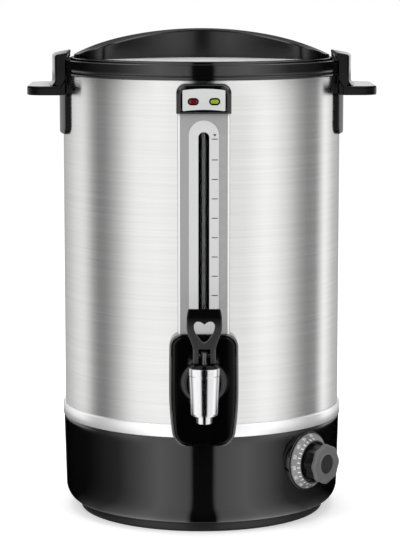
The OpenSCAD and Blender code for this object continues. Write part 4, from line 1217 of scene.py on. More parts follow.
@dataclass
class LampBox:
    """The pillow-shaped box under the collar with its silver plate and two lamps.

    Args:
        width: width of the box.
        height: its height.
        low: height of its lower corners.
        front: distance of its face from the axis.
        back: distance of its back.
        arch_radius: radius of its arched lower edge.
        arch_rise: how far the middle of that edge stands over the corners.
        pitch: distance between the lamps.
        lamp_z: height of the lamps.
        plate_size: width and height of the silver plate.
        lens: width and height of a lens.
        rim: width of the black rim round a lens.
    """

    width: float = 52.7
    height: float = 28.8
    low: float = 413.2
    front: float = 160.0
    back: float = 136.5
    arch_radius: float = 153.0
    arch_rise: float = 2.3
    pitch: float = 20.3
    lamp_z: float = 425.6
    plate_size: tuple[float, float] = (40.5, 19.8)
    lens: tuple[float, float] = (7.7, 4.0)
    rim: float = 1.6

    def lift(self, x: float | Array) -> float | Array:
        """How far the arch stands over its ends: its rise less the sagitta of a circle."""
        return self.arch_rise - (self.arch_radius - np.sqrt(self.arch_radius ** 2 - x ** 2))

    def box(self) -> None:
        """Stacks the box's outline: straight sides, then a round pillow edge up to the flat front.

        The lower edge bends up in the middle as the arch does, and the heights above it less and less.
        """
        s = quarter(9)
        insets = np.concatenate([[0, 0], 4.2 * (1 - np.cos(s)), [4.6]])
        depths = np.concatenate([[self.back, self.front - 7.3], self.front - 7 + 7 * np.sin(s), [self.front]])
        rows = []
        for d, depth in zip(insets, depths):
            x, z = soft_outline(self.width - 2 * d, self.height - 2 * d, 1.2 + 0.3 * d, 9 - 0.45 * d).T
            share = np.clip(1 - (z + d) / self.height, 0, 1)
            rows.append((points_of(x, z + self.low + d + self.lift(x) * share), depth))
        piece("lamp_box", [stacked(rows)], Look.BOSS_BLACK, ["indicator_housing"], angle=50)

    def plate(self) -> None:
        """Lays the silver plate on the box; both long edges follow the arch.

        The corners take the arch's height first; then the points put on the long edges get its bow.
        """
        w, h = self.plate_size
        half = w / 2 - 1.3
        rows = []
        for d, depth in ((0.0, -1), (0.0, 0.05), (0.35, 0.2)):
            x, z = soft_outline(w - 2 * d, h - 2 * d, 1.2, 1.2, steps=8).T
            x, z = spaced(points_of(x, z + self.low + 2.4 + d + self.lift(x)), 220).T
            bow = np.where(np.abs(x) < half, self.lift(x) - self.lift(half), 0)
            rows.append((points_of(x, z + bow), self.front + depth))
        piece("lamp_plate", [stacked(rows)], Look.SILVER, ["indicator_fascia"])

    def lamp_centre(self, side: int) -> Array:
        """Middle of a lamp on the face: left for -1, right for 1."""
        return np.array([side * self.pitch / 2, self.lamp_z])

    def lamp(self, side: int, finish: Finish, name: str, node: str) -> None:
        """Builds one lens: an oblong with a domed front.

        Args:
            side: -1 for the left lamp, 1 for the right one.
            finish: what the lens is made of.
            name: the piece's name.
            node: the frame node that it stands for.
        """
        s = quarter(7)[1:-1]
        base = self.front + 0.3
        scale = np.concatenate([[1, 1], np.cos(s) * 0.75 + 0.25, [0.1]])
        depth = np.concatenate([[self.front - 3, base], base + 0.35 * np.sin(s), [base + 0.35]])
        loop, centre = oblong_outline(*self.lens), self.lamp_centre(side)
        sheet = stacked([(loop * k + centre, q) for k, q in zip(scale, depth)])
        piece(name, [sheet], finish, [node], angle=60)

    def bezels(self) -> None:
        """Builds the two lamp rims: an oblong ring with a round front."""
        (w, h), r = self.lens, self.rim
        section = [
            (r, -3), (r, 0.1), (0.8 * r, 0.42), (0.45 * r, 0.55), (0.1 * r, 0.45), (0.02, 0.3), (0.02, -3)]
        sheets = [
            stacked([
                (oblong_outline(w + 2 * d, h + 2 * d) + self.lamp_centre(side), self.front + q)
                for d, q in section], ring=True)
            for side in (-1, 1)]
        piece("lamp_rims", sheets, Look.PAD_BLACK, ["lamp_bezels"], angle=50)

    def build(self) -> None:
        """Builds box, plate, rims and lenses."""
        for make in (self.box, self.plate, self.bezels):
            make()
        self.lamp(-1, Look.RED, "lens_red", "lamp_red")
        self.lamp(1, Look.GREEN, "lens_green", "lamp_green")


HALF_TURN = np.linspace(0, math.pi, 33)  # angles over a round top


@dataclass
class WaterGauge:
    """Grey panel, light strip with its marks, and glass tube.

    Args:
        half: half width of the panel.
        front: distance of its face from the axis.
        low: height of its lower edge, behind the shield.
        top: height of its upper edge.
        slot_half: half width of the slot.
        slot_top: height of its round top.
        slot_low: height of its lower end.
        strip_half: half width of the light strip.
        strip_top: height of its round top.
        tube_y: place of the tube's axis.
        tube_r: radius of the tube.
        tube: heights of its ends.
        first_mark: height of the lowest level mark.
        mark_step: distance between marks.
        marks: number of them.
        full_mark: height of the top mark.
    """

    half: float = 25.0
    front: float = 154.0
    low: float = 187.0
    top: float = 417.2
    slot_half: float = 5.2
    slot_top: float = 396.2
    slot_low: float = 220.0
    strip_half: float = 14.65
    strip_top: float = 407.6
    tube_y: float = -147.0
    tube_r: float = 4.0
    tube: tuple[float, float] = (174.0, 399.2)
    first_mark: float = 239.7
    mark_step: float = 18.6
    marks: int = 8
    full_mark: float = 389.7

    def path(self, half: float, low: float, centre: float, reach: float | Array) -> Array:
        """Loop up the right side, over the top and down the left side.

        Args:
            half: half width of the loop.
            low: height where it starts and ends.
            centre: height of the arc's centre.
            reach: distance from that centre along the arc.
        Returns:
            The loop as pairs.
        """
        right = points_of(half, np.linspace(low, centre, 14)[:-1])
        arc = points_of(reach * np.cos(HALF_TURN), centre + reach * np.sin(HALF_TURN))
        return np.vstack([right, arc, right[::-1] * [-1, 1]])

    def tall(self, half: float, top: float, low: float = 187.0) -> Array:
        """Loop of a slot with a round top."""
        return self.path(half, low, top - half, half)

    def square(self, half: float, top: float) -> Array:
        """Loop of the panel: over the strip's arc, where rays from its centre meet the rectangle.

        Args:
            half: half of its width.
            top: height of its upper edge.
        Returns:
            The loop as pairs.
        """
        centre = self.strip_top - self.strip_half
        side = half / np.maximum(np.abs(np.cos(HALF_TURN)), 1e-6)
        up = (top - centre) / np.maximum(np.sin(HALF_TURN), 1e-6)
        return self.path(half, self.low, centre, np.minimum(side, up))

    def panel(self) -> None:
        """Lays loops from the slot's wall over the strip's recess and the face to the panel's sides."""
        f, h, top, back = self.front, self.half, self.top, 134.0
        slot = self.tall(self.slot_half, self.slot_top, self.slot_low)
        wide = self.tall(self.slot_half + 2, self.slot_top + 2, self.slot_low - 2)
        strip = self.tall(self.strip_half, self.strip_top)
        inner = self.square(h - 2, top - 1)
        rows = [
            (slot, f - 3), (slot, f - 0.9), (strip * [0.99, 1], f - 0.9), (strip, f - 0.85),
            (strip, f - 0.15), (self.tall(self.strip_half + 0.15, self.strip_top + 0.15), f),
            (self.square(h - 3.2, top - 1), f),
            (self.square(h - 2.2, top), f - 0.12), (self.square(h - 0.5, top), f - 1.6),
            (self.square(h, top), f - 2.3), (self.square(h, top), back), (inner, back), (inner, f - 2.3),
            (wide, f - 2.3), (wide, f - 3)]
        sheet = stacked(rows, ring=True)
        piece("gauge_face", [sheet], Look.PANEL_GREY, ["gauge_panel"], angle=28)

    def edges(self) -> None:
        """Lays a painted highlight: a pale line on the bevel along both sides of the panel."""
        h, f = self.half, self.front
        x, y = np.array([(h - 2.15, f - 0.1), (h - 0.5, f - 1.54), (h - 0.7, f - 1.8), (h - 2.4, f - 0.4)]).T
        right = solid([points_of(x, -y, z) for z in np.linspace(self.low + 1, self.top - 0.5, 24)])
        piece("gauge_bevel_highlights", [right, mirrored(right)], Look.PAINTED_BEVEL_HIGHLIGHT, angle=28)

    def strip(self) -> None:
        """Lays the light strip in its recess, round the slot."""
        f = self.front
        a = self.tall(self.slot_half + 0.05, self.slot_top + 0.05, self.slot_low - 0.05)
        b = self.tall(self.strip_half - 0.12, self.strip_top - 0.12, self.low + 2)
        sheet = stacked([(a, f - 0.8), (a, f - 0.35), (b, f - 0.35), (b, f - 0.8)], ring=True)
        piece("scale_face", [sheet], Look.SCALE_GREY, ["scale_strip"])

    def level_marks(self) -> None:
        """Prints the level marks: short bars right of the slot and a bar with a pointer at the top."""
        heights = [self.first_mark + self.mark_step * k for k in range(self.marks)] + [self.full_mark]
        loops = [
            np.array([(7.6, z - 0.42), (13.3, z - 0.42), (13.3, z + 0.42), (7.6, z + 0.42)]) for z in heights]
        z = self.full_mark + 2.2
        loops.append(np.array([(8.8, z + 2.6), (10.4, z), (12.0, z + 2.6)]))
        sheets = [stacked([(loop, self.front - 0.36), (loop, self.front - 0.28)]) for loop in loops]
        piece("level_marks", sheets, Look.INK)

    def glass(self) -> None:
        """Turns the glass tube."""
        (z0, z1), r = self.tube, self.tube_r
        profile = rounded([(r - 1, z0), (r, z0), (r, z1), (r - 1, z1)], 0.2)
        sheet = turned(profile, (0, self.tube_y, 0), segments=48)
        piece("glass_tube", [sheet], Look.GLASS, ["sight_tube"])

    def build(self) -> None:
        """Builds the gauge."""
        for make in (self.panel, self.edges, self.strip, self.level_marks, self.glass):
            make()


@dataclass
class Tap:
    """Shield, boss, barrel with its spout, bonnet, stem, pin, spring and lever.

    Args:
        z: height of the shank's axis.
        y: place of the barrel's axis.
        shield_low: height of the shield's lower edge.
        shield_height: height of the shield.
        shield_half: half of its width.
        flange: distance of its rim from the urn's axis.
        front: distance of its raised pad.
        barrel_low: height where the spout starts.
        barrel_top: height of the barrel's mouth.
        barrel_r: radius of the barrel.
        nozzle_r: radius of the spout.
        nozzle_low: height of the spout's end.
        bonnet_z: height of the bonnet's lower end, where the spring bears.
        collar_z: height of the stem's collar, which carries the spring.
        pin_z: height of the lever's pin.
        lever_h: length of the lever above its pin.
        lever_half_w: half of its greatest width.
        neck_half: half of its width at the neck.
        cam_heel: distance from the pin to the cam's heel at rest.
        cam_lift: how much the cam adds for each radian.
    """

    z: float = 156.0
    y: float = -185.0
    shield_low: float = 92.6
    shield_height: float = 109.8
    shield_half: float = 33.5
    flange: float = 155.4
    front: float = 158.0
    barrel_low: float = 129.0
    barrel_top: float = 175.4
    barrel_r: float = 14.9
    nozzle_r: float = 7.65
    nozzle_low: float = 121.5
    bonnet_z: float = 166.0
    collar_z: float = 149.8
    pin_z: float = 186.0
    lever_h: float = 45.6
    lever_half_w: float = 16.8
    neck_half: float = 10.8
    cam_heel: float = 6.88
    cam_lift: float = 4.5

    def shield_loop(self, d: float) -> Array:
        """Outline of the shield, d inside its edge: round corners and sides that narrow downwards.

        Args:
            d: how far inside the edge.
        Returns:
            Loop of pairs, counter-clockwise.
        """
        w, h = 2 * (self.shield_half - d), self.shield_height - 2 * d
        loop = soft_outline(w, h, max(13.5 - d, 3), max(12 - d, 3), steps=18) + [0, self.shield_low + d]
        share = np.linspace(0, 1, 12)[1:-1, None]
        n = len(loop) // 4
        right, left = (loop[k - 1] + (loop[k] - loop[k - 1]) * share for k in (n, 3 * n))
        x, z = np.vstack([loop[:n], right, loop[n:3 * n], left, loop[3 * n:]]).T
        t = 2 * (z - self.shield_low) / self.shield_height - 1
        pinch = np.where(t < 0, 5.2, 0.6) * t * t
        return points_of(x * (1 - pinch / self.shield_half), z)

    def shield(self) -> None:
        """Stacks the shield: deep sides, a round rim and a seat, with a flat raised pad on it."""
        s = quarter(6)
        f, top, edge = self.flange, self.front, 3.1
        rim = [(1.6 * (1 - math.cos(a)), f + 1.5 * math.sin(a)) for a in s]
        seat = [(2.2, f + 1.45), (2.9, f + 0.9), (3.4, f + 0.7), (8.0, f + 0.7)]
        rim = [(0.0, 137.0), (0.0, f - 4)] + rim + seat
        pad = [(edge + 1.2 * (1 - math.cos(a)), f + 1.2 + (top - f - 1.2) * math.sin(a)) for a in s]
        pad = [(edge, f), (edge, f + 1.2)] + pad + [(5.5, top), (8.0, top)]
        for name, rows, finish in (("shield", rim, Look.SHIELD_BLACK), ("shield_pad", pad, Look.PAD_BLACK)):
            sheet = stacked([(self.shield_loop(d), q) for d, q in rows])
            piece(name, [sheet], finish, ["tap_shield"], angle=50)

    def boss(self) -> None:
        """Turns the boss that the tap comes out of: a hollow flank rises from the pad to a flat face."""
        a = np.linspace(0, 1, 14)[1:]
        flank = points_of(24.6 - 6.6 * a, 0.02 + 2.0 * a ** 5)
        face = rounded([(18, 2.02), (18, 8.0), (12, 8.0), (12, -0.5)], [0, 0.4, 0.6, 0], closed=False)[1:-1]
        profile = np.vstack([[(12, -0.5), (24.6, -0.5), (24.6, 0.02)], flank, face])
        sheet = turned(profile, (0, -self.front, self.z), "-y", 128)
        piece("boss", [sheet], Look.BOSS_BLACK, ["tap_boss"])

    def barrel(self) -> None:
        """Turns the chrome barrel with its spout, and the neck that leads back to the shield."""
        r, n, z, low, top = self.barrel_r, self.nozzle_r, self.z, self.barrel_low, self.barrel_top
        seat, chamber = 137, self.bonnet_z
        profile = rounded([
            (4.5, seat), (4.5, self.nozzle_low), (n, self.nozzle_low), (n, low), (r - 2.6, low),
            (r - 1.9, low + 2.2), (r - 0.35, z + 8), (r - 0.35, z + 11.7), (r, z + 12.3), (r, top),
            (11.2, top), (11.2, chamber), (10.4, chamber - 0.4), (10.4, seat)],
            [0.1, 0.5, 0.8, 0.7, 1.2, 2.0, 3.0, 0.3, 0.4, 0.9, 0.3, 0.2, 0.2, 0.2])
        neck = rounded([
            (6, 11.0), (12.7, 11.0), (12.7, 18.7), (11.7, 19.0), (11.7, 26.7), (6, 26.7)],
            [0.1, 0.1, 0.8, 0.4, 0.3, 0.1]) * [1, -1]
        sheets = [turned(profile, (0, self.y, 0), segments=128), turned(neck, (0, self.y, z), "-y", 96)]
        piece("barrel", sheets, Look.CHROME, ["tap_barrel"])

    def bonnet(self) -> None:
        """Turns the black bonnet on the barrel."""
        z, top = self.bonnet_z, self.barrel_top
        profile = rounded([
            (3.6, z), (11, z), (11, top), (14.5, top), (14.5, 176.4), (12.3, 179), (3.6, 179)],
            [0.1, 0.3, 0.2, 0.2, 0.6, 0.8, 0.4])
        sheet = turned(profile, (0, self.y, 0), segments=128)
        piece("bonnet", [sheet], Look.PAD_BLACK, ["tap_bonnet"])

    def stem(self) -> None:
        """Turns the valve stem and its pin."""
        z = self.collar_z
        profile = np.vstack([
            [(0, 137), (3, 137), (3, z - 2), (6.5, z - 2), (6.5, z), (3.5, z)],
            rounded([(3.5, z), (3.5, 190), (0, 190)], [0, 1.4, 0], closed=False)[1:]])
        sheet = turned(profile, (0, self.y, 0), segments=64, closed=False)
        piece("stem_rod", [sheet], Look.STEM_STEEL, ["valve_stem"], Body.STEM)
        pin = rounded([(0, -10), (2, -10), (2, 10), (0, 10)], [0, 0.4, 0.4, 0], closed=False)
        points = turned(pin, segments=40, closed=False).points[..., [2, 0, 1]] + [0, self.y, self.pin_z]
        piece("cross_pin", [Sheet(points)], Look.STEM_STEEL, ["lever_pin"], Body.STEM)

    def coil(self) -> None:
        """Winds the return spring: a tube on a helix between the stem's collar and the bonnet."""
        wire, radius, gap, low, high = 0.6, 5.4, 0.02, self.collar_z, self.bonnet_z
        a = np.linspace(0, 5 * TURN, 121)[:, None]
        b = circle(10)
        r, rise = radius + wire * np.cos(b), high - low - 2 * (wire + gap)
        z = low + wire + gap + rise * a / a[-1] + wire * np.sin(b)
        sheet = solid(points_of(r * np.cos(a), self.y + r * np.sin(a), z))
        made = piece("valve_coil", [sheet], Look.STEM_STEEL, ["valve_spring"])
        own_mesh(made)

    def lever_half(self, z: Array) -> Array:
        """Half width of the lever: a cosine swell from the neck to the shoulders, then nearly level.

        Args:
            z: heights over the pin.
        Returns:
            The half widths.
        """
        t = np.clip((z - 6) / (self.lever_h - 23.6), 0, 1)
        swell = self.neck_half + (self.lever_half_w - self.neck_half) * (1 - np.cos(math.pi * t)) / 2
        over = z - self.lever_h + 11
        return np.where(over > 0, self.lever_half_w - 1.6 * (over / 11) ** 2, swell)

    def heart_loop(self) -> Array:
        """Outline of the heart hole, counter-clockwise: a polygon with its corners cut three times.

        Returns:
            Loop of pairs, with heights over the pin.
        """
        right = [
            (0, -0.1), (0, -0.1), (2.5, 0.9), (5.5, 5.0), (8.7, 9.6), (9.9, 14.4), (9.8, 17.9), (7.4, 20.4),
            (3.7, 20.2), (0, 17.5), (0, 17.5)]
        left = [(-x, z) for x, z in right[-3:1:-1]]
        return spaced(smoothed(np.array(right + left))) + [0, 13.3]

    def polar(self, loop: Array, centre: Array, angles: Array) -> Array:
        """Samples a star-shaped loop at given angles about a centre.

        Args:
            loop: its points as pairs.
            centre: a point from which all of it is seen.
            angles: where it is sampled.
        Returns:
            One point for each angle.
        """
        q = loop - centre
        a, r = np.arctan2(q[:, 1], q[:, 0]), np.hypot(q[:, 0], q[:, 1])
        order = np.argsort(a)
        radius = np.interp(angles, a[order], r[order], period=TURN)
        return centre + radius[:, None] * points_of(np.cos(angles), np.sin(angles))

    def paddle(self) -> Sheet:
        """Blends the heart outline into the lever's outline, front and back.

        Ring k lies the share s_k of the way from the heart to the edge; the front and back surfaces are
        curves of the height, and both fall away in a quarter circle at the hole and at the edge.

        Returns:
            The sheet, whose last row joins the first.
        """
        centre, angles = np.array([0.0, 26.0]), np.linspace(-math.pi, math.pi, 240, endpoint=False)
        z = np.linspace(7.5, self.lever_h - 0.01, 60)
        right = points_of(self.lever_half(z), z)
        radii = np.array([0.1] + [0.01] * 58 + [2.2])
        both = np.vstack([right, right[::-1] * [-1, 1]])
        outline = rounded(both, np.concatenate([radii, radii[::-1]]), steps=6)
        inner = self.polar(self.heart_loop(), centre, angles)
        outer = self.polar(spaced(outline, 900), centre, angles)
        gap = np.linalg.norm(outer - inner, axis=1)[:, None]
        e, a = 0.9, quarter(6)
        edge = list(zip(e * (1 - np.cos(a)), e * (1 - np.sin(a))))
        shares = [(d / gap, fall) for d, fall in edge]
        shares += [(np.clip(np.full_like(gap, s), e / gap, 1 - e / gap), 0.0) for s in (0.3, 0.5, 0.7)]
        shares += [(1 - d / gap, fall) for d, fall in edge[::-1]]
        rows = []
        for sign, rings in ((1, shares), (-1, shares[::-1])):
            for share, fall in rings:
                x, z = (inner + (outer - inner) * share).T
                rows.append(points_of(x, self.y - self.depth_at(z, sign) + sign * fall, z + self.pin_z))
        return Sheet(np.stack(rows), wrap_rows=True)

    def depth_at(self, z: Array, sign: int) -> Array:
        """How far the lever's front (sign 1) or back (sign -1) stands from its middle plane.

        Args:
            z: heights over the pin.
            sign: which of the two.
        Returns:
            Distances, positive towards the front.
        """
        knots = [4.5, 9, 14, 22, 32, self.lever_h]
        front, back = [7.6, 5.0, 3.6, 3.0, 2.8, 2.9], [-6.0, -4.4, -2.4, -1.7, -1.5, -1.4]
        fine = np.linspace(4.5, self.lever_h, 80)
        curve = np.interp(fine, knots, front if sign > 0 else back)
        curve = np.convolve(np.pad(curve, 4, mode="edge"), np.ones(9) / 9, mode="valid")
        return np.interp(z, fine, curve)

    def cheek(self, side: int) -> Sheet:
        """One prong beside the stem: the side view with its cam heel, stacked sideways with soft faces.

        Args:
            side: -1 for the left prong, 1 for the right one.
        Returns:
            The sheet, closed at both ends.
        """
        a = np.radians(np.arange(0, 41, 4))
        lift = self.cam_lift
        h = self.cam_heel + lift * a
        cam = points_of(-h * np.sin(a) - lift * np.cos(a), -h * np.cos(a) + lift * np.sin(a))
        z = np.array([4.5, 7.0, 9.5, 12.0])
        front = points_of(-self.depth_at(z, 1) + 0.12, z)
        back = points_of(-self.depth_at(z, -1) - 0.12, z)[::-1]
        loop = np.vstack([cam, [(-9.6, -1)], front, back, [(6.2, -3), (5.2, -self.cam_heel)]])
        loop = rounded(loop, [0.05] * len(cam) + [1.5] + [0.3] * 8 + [2.0, 0.8], steps=4)
        steps = [(0.5, 5.7), (0.15, 5.85), (0.0, 6.3), (0.0, 9.9), (0.25, 10.4), (0.7, 10.7), (1.4, 10.8)]
        area = (loop[:, 0] * np.roll(loop[:, 1], -1) - np.roll(loop[:, 0], -1) * loop[:, 1]).sum()
        loop = loop if area > 0 else loop[::-1]
        return solid([points_of(side * x, *(inset(loop, d) + [self.y, self.pin_z]).T) for d, x in steps])

    def lever(self) -> None:
        """Builds the lever out of its paddle and two cheeks."""
        sheets = [self.paddle(), self.cheek(-1), self.cheek(1)]
        piece("lever", sheets, Look.LEVER_BLACK, ["tap_lever"], Body.LEVER, angle=45)

    def build(self) -> None:
        """Builds the tap."""
        for make in (self.shield, self.boss, self.barrel, self.bonnet, self.stem, self.coil, self.lever):
            make()


@dataclass
class Knob:
    """Dial ring with its numbers, fluted body, lobed cap and dark insert.

    Args:
        azimuth: direction of the knob's axis, in degrees from the tap.
        height: height of the axis.
        foot: distance of the dial's back from the urn's axis.
        dial_r: outer radius of the dial.
        dial_t: thickness of its floor.
        dial_rise: height of its cone.
        skirt: radius of the cone's inner edge.
        cap_base: distance of the cap's foot from the urn's axis.
        top: distance of the cap's face.
        cap_r: radius of the cap.
        insert_r: radius of the dark insert.
        lobes: number of lobes.
        flute: depth of the hollows between them.
        numbers: what the dial says.
        step: degrees between two numbers.
    """

    azimuth: float = 47.0
    height: float = 65.0
    foot: float = 143.3
    dial_r: float = 27.75
    dial_t: float = 1.6
    dial_rise: float = 8.0
    skirt: float = 20.4
    cap_base: float = 163.3
    top: float = 167.5
    cap_r: float = 20.0
    insert_r: float = 9.5
    lobes: int = 8
    flute: float = 1.3
    numbers: tuple = tuple(range(20, 120, 10))
    step: float = 24.0

    def lobed(self, rows: Sequence) -> Sheet:
        """Stacks lobed loops: radius r - depth (1 - cos(lobes t)) / 2 at the angle t.

        Args:
            rows: (radius, lobe depth, distance from the urn's axis) for each loop.
        Returns:
            The sheet in the object's frame, closed at both ends.
        """
        t = circle(192)
        r, depth, out = np.asarray(rows, float).T[..., None]
        q = r - depth * (1 - np.cos(self.lobes * t)) / 2
        return solid(at_angle(points_of(q * np.sin(t), q * np.cos(t), out), self.azimuth, self.height))

    def dial(self) -> None:
        """Turns the cone-shaped numbered ring about the knob's axis."""
        f, r, k, rise, t = self.foot, self.dial_r, self.skirt, self.dial_rise, self.dial_t
        profile = rounded([
            (10, f), (r, f), (r, f + 0.9), (k + 1.5, f + rise), (k, f + rise), (k - 0.6, f + t), (10, f + t)],
            [0.1, 0.3, 0.3, 0.5, 0.5, 0.3, 0.1])
        sheet = turned_at(profile, self.azimuth, self.height, 144)
        piece("dial", [sheet], Look.DIAL_SILVER, ["dial_ring"], Body.KNOB)

    def on_cone(self, side: Array, slope: Array, lift: Array, degrees: float) -> Array:
        """Lays flat points on the dial's cone.

        Args:
            side: distance along the circumference.
            slope: distance from the cone's outer edge along its slope.
            lift: distance above its surface.
            degrees: where on the ring, counter-clockwise from the top.
        Returns:
            Points in the object's frame.
        """
        fall, rise = self.dial_r - self.skirt - 1.5, self.dial_rise - 0.9
        length = math.hypot(fall, rise)
        radius = self.dial_r - slope * fall / length + lift * rise / length
        out = self.foot + 0.9 + slope * rise / length + lift * fall / length
        c, s = math.cos(math.radians(degrees)), math.sin(math.radians(degrees))
        local = points_of(side * c - radius * s, side * s + radius * c, out)
        return at_angle(local, self.azimuth, self.height)

    def body(self) -> None:
        """Stacks the fluted body; its foot flares a little."""
        f, c, d = self.foot + self.dial_t, self.cap_base, self.flute
        rows = [
            (9.2, 0, f), (18.5, d, f), (18.8, d, f + 0.4), (18.5, d, f + 1.6), (18.3, d, f + 5),
            (18.2, d, c - 4), (18.4, d, c), (9.2, 0, c)]
        sheet = self.lobed(rows)
        piece("knob_grip", [sheet], Look.KNOB_BLACK, ["knob_body"], Body.KNOB, angle=50)

    def cap(self) -> None:
        """Stacks the grey lobed cap with its round shoulder and the raised ring round the insert."""
        c, t, r, d, i = self.cap_base, self.top, self.cap_r, self.flute, self.insert_r
        rows = [(10, 0, c), (r - 0.5, d, c), (r, d, c + 0.5), (r, d, t - 2.2)]
        rows += [
            (r - 2.0 * (1 - math.cos(a)), d * (1 - 0.12 * a), t - 2.2 + 2.2 * math.sin(a))
            for a in quarter(6)[1:]]
        rows += [
            (15.2, 0.6, t), (12.5, 0.1, t - 0.15), (11.7, 0, t - 0.1), (11.0, 0, t + 0.35),
            (10.0, 0, t + 0.35), (i, 0, t - 0.3), (i, 0, t - 1.6), (4.0, 0, t - 1.6)]
        piece("knob_top", [self.lobed(rows)], Look.KNOB_GREY, ["knob_cap"], Body.KNOB, angle=40)

    def insert(self) -> None:
        """Stacks the dark disc in the cap, slightly dished."""
        t, r = self.top, self.insert_r - 0.05
        rows = [
            (r, 0, t - 2.4), (r, 0, t - 0.9), (r - 0.4, 0, t - 0.6), (6.0, 0, t - 0.75), (2.0, 0, t - 0.85)]
        piece("knob_disc", [self.lobed(rows)], Look.KNOB_DARK, ["knob_insert"], Body.KNOB)

    def number(self, value: int, degrees: float) -> tuple[Array, list[list[int]]]:
        """Makes one number, its head outwards, as points on the cone and faces.

        Args:
            value: what it says.
            degrees: where on the ring.
        Returns:
            Points in the object's frame, and lists of point indices.
        """
        curve = bpy.data.curves.new("number", "FONT")
        curve.body, curve.size, curve.extrude = str(value), 4.4, 0.04
        curve.align_x, curve.align_y = "CENTER", "CENTER"
        holder = bpy.data.objects.new("number", curve)
        bpy.context.scene.collection.objects.link(holder)
        mesh = bpy.data.meshes.new_from_object(holder)
        bpy.data.objects.remove(holder)
        flat = np.empty(len(mesh.vertices) * 3)
        mesh.vertices.foreach_get("co", flat)
        x, y, z = flat.reshape(-1, 3).T
        faces = [list(polygon.vertices) for polygon in mesh.polygons]
        bpy.data.meshes.remove(mesh)
        return self.on_cone(x, 3.2 - y, z + 0.03, degrees), faces

    def print_on_dial(self) -> None:
        """Prints the numbers, and a tick at each number and half way between."""
        points, faces, start = [], [], 0
        for k, value in enumerate(self.numbers):
            put, joined = self.number(value, self.step * k)
            points.append(put * MM)
            faces += [[v + start for v in face] for face in joined]
            start += len(put)
        made = placed("dial_numbers", np.vstack(points), faces)
        dressed(made, Look.PALE_INK, body=Body.KNOB)
        side, slope = np.array([-0.38, 0.38, 0.62, -0.62]), np.array([8.9, 8.9, 6.1, 6.1])
        ticks = [
            solid([self.on_cone(side, slope, lift, 0.5 * self.step * k) for lift in (-0.05, 0.05)])
            for k in range(2 * len(self.numbers) - 1)]
        piece("dial_ticks", ticks, Look.PALE_INK, body=Body.KNOB)

    def pointer(self) -> None:
        """Prints the fixed mark over the dial, on the pad's edge."""
        x, z = np.array([(-0.45, 27.95), (0.45, 27.95), (0.45, 29.0), (-0.45, 29.0)]).T
        sheet = solid([at_angle(points_of(x, z, out), self.azimuth, self.height) for out in (142.5, 143.06)])
        piece("pointer_mark", [sheet], Look.KNOB_GREY)

    def build(self) -> None:
        """Builds the knob."""
        for make in (self.dial, self.body, self.cap, self.insert, self.print_on_dial, self.pointer):
            make()


# ---- Parts that keep their solid ---------------------------------------------------------------

KEPT = {
    Look.SHEET: [
        "bottom_cover", "cover_screws", "inner_tank", "tank_support", "heating_element", "thermostat_nut",
        "handle_screws", "lid_pan", "lid_screws", "thermostat_shaft"],
    Look.FELT: ["insulation_wrap"],
    Look.ALUMINIUM: ["heating_plate"],
    Look.IVORY: ["thermal_cutout", "thermostat_body", "lamp_holders"],
    Look.COPPER: ["capillary_bulb"],
    Look.SATIN_BLACK: ["power_inlet", "tube_cap", "gauge_tee", "gauge_liner"],
    Look.CHROME: ["inlet_pins", "tap_shank", "shank_nut"],
    Look.SEAL: ["tube_seal", "shank_washers", "valve_cup"],
}


def dress_kept() -> None:
    """Gives every solid that stays in the picture its finish."""
    for finish, names in KEPT.items():
        for name in names:
            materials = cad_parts[name].data.materials
            materials.clear()
            materials.append(finish.material())
            LOG.info("%s keeps its solid", name)


# ---- Studio ------------------------------------------------------------------------------------


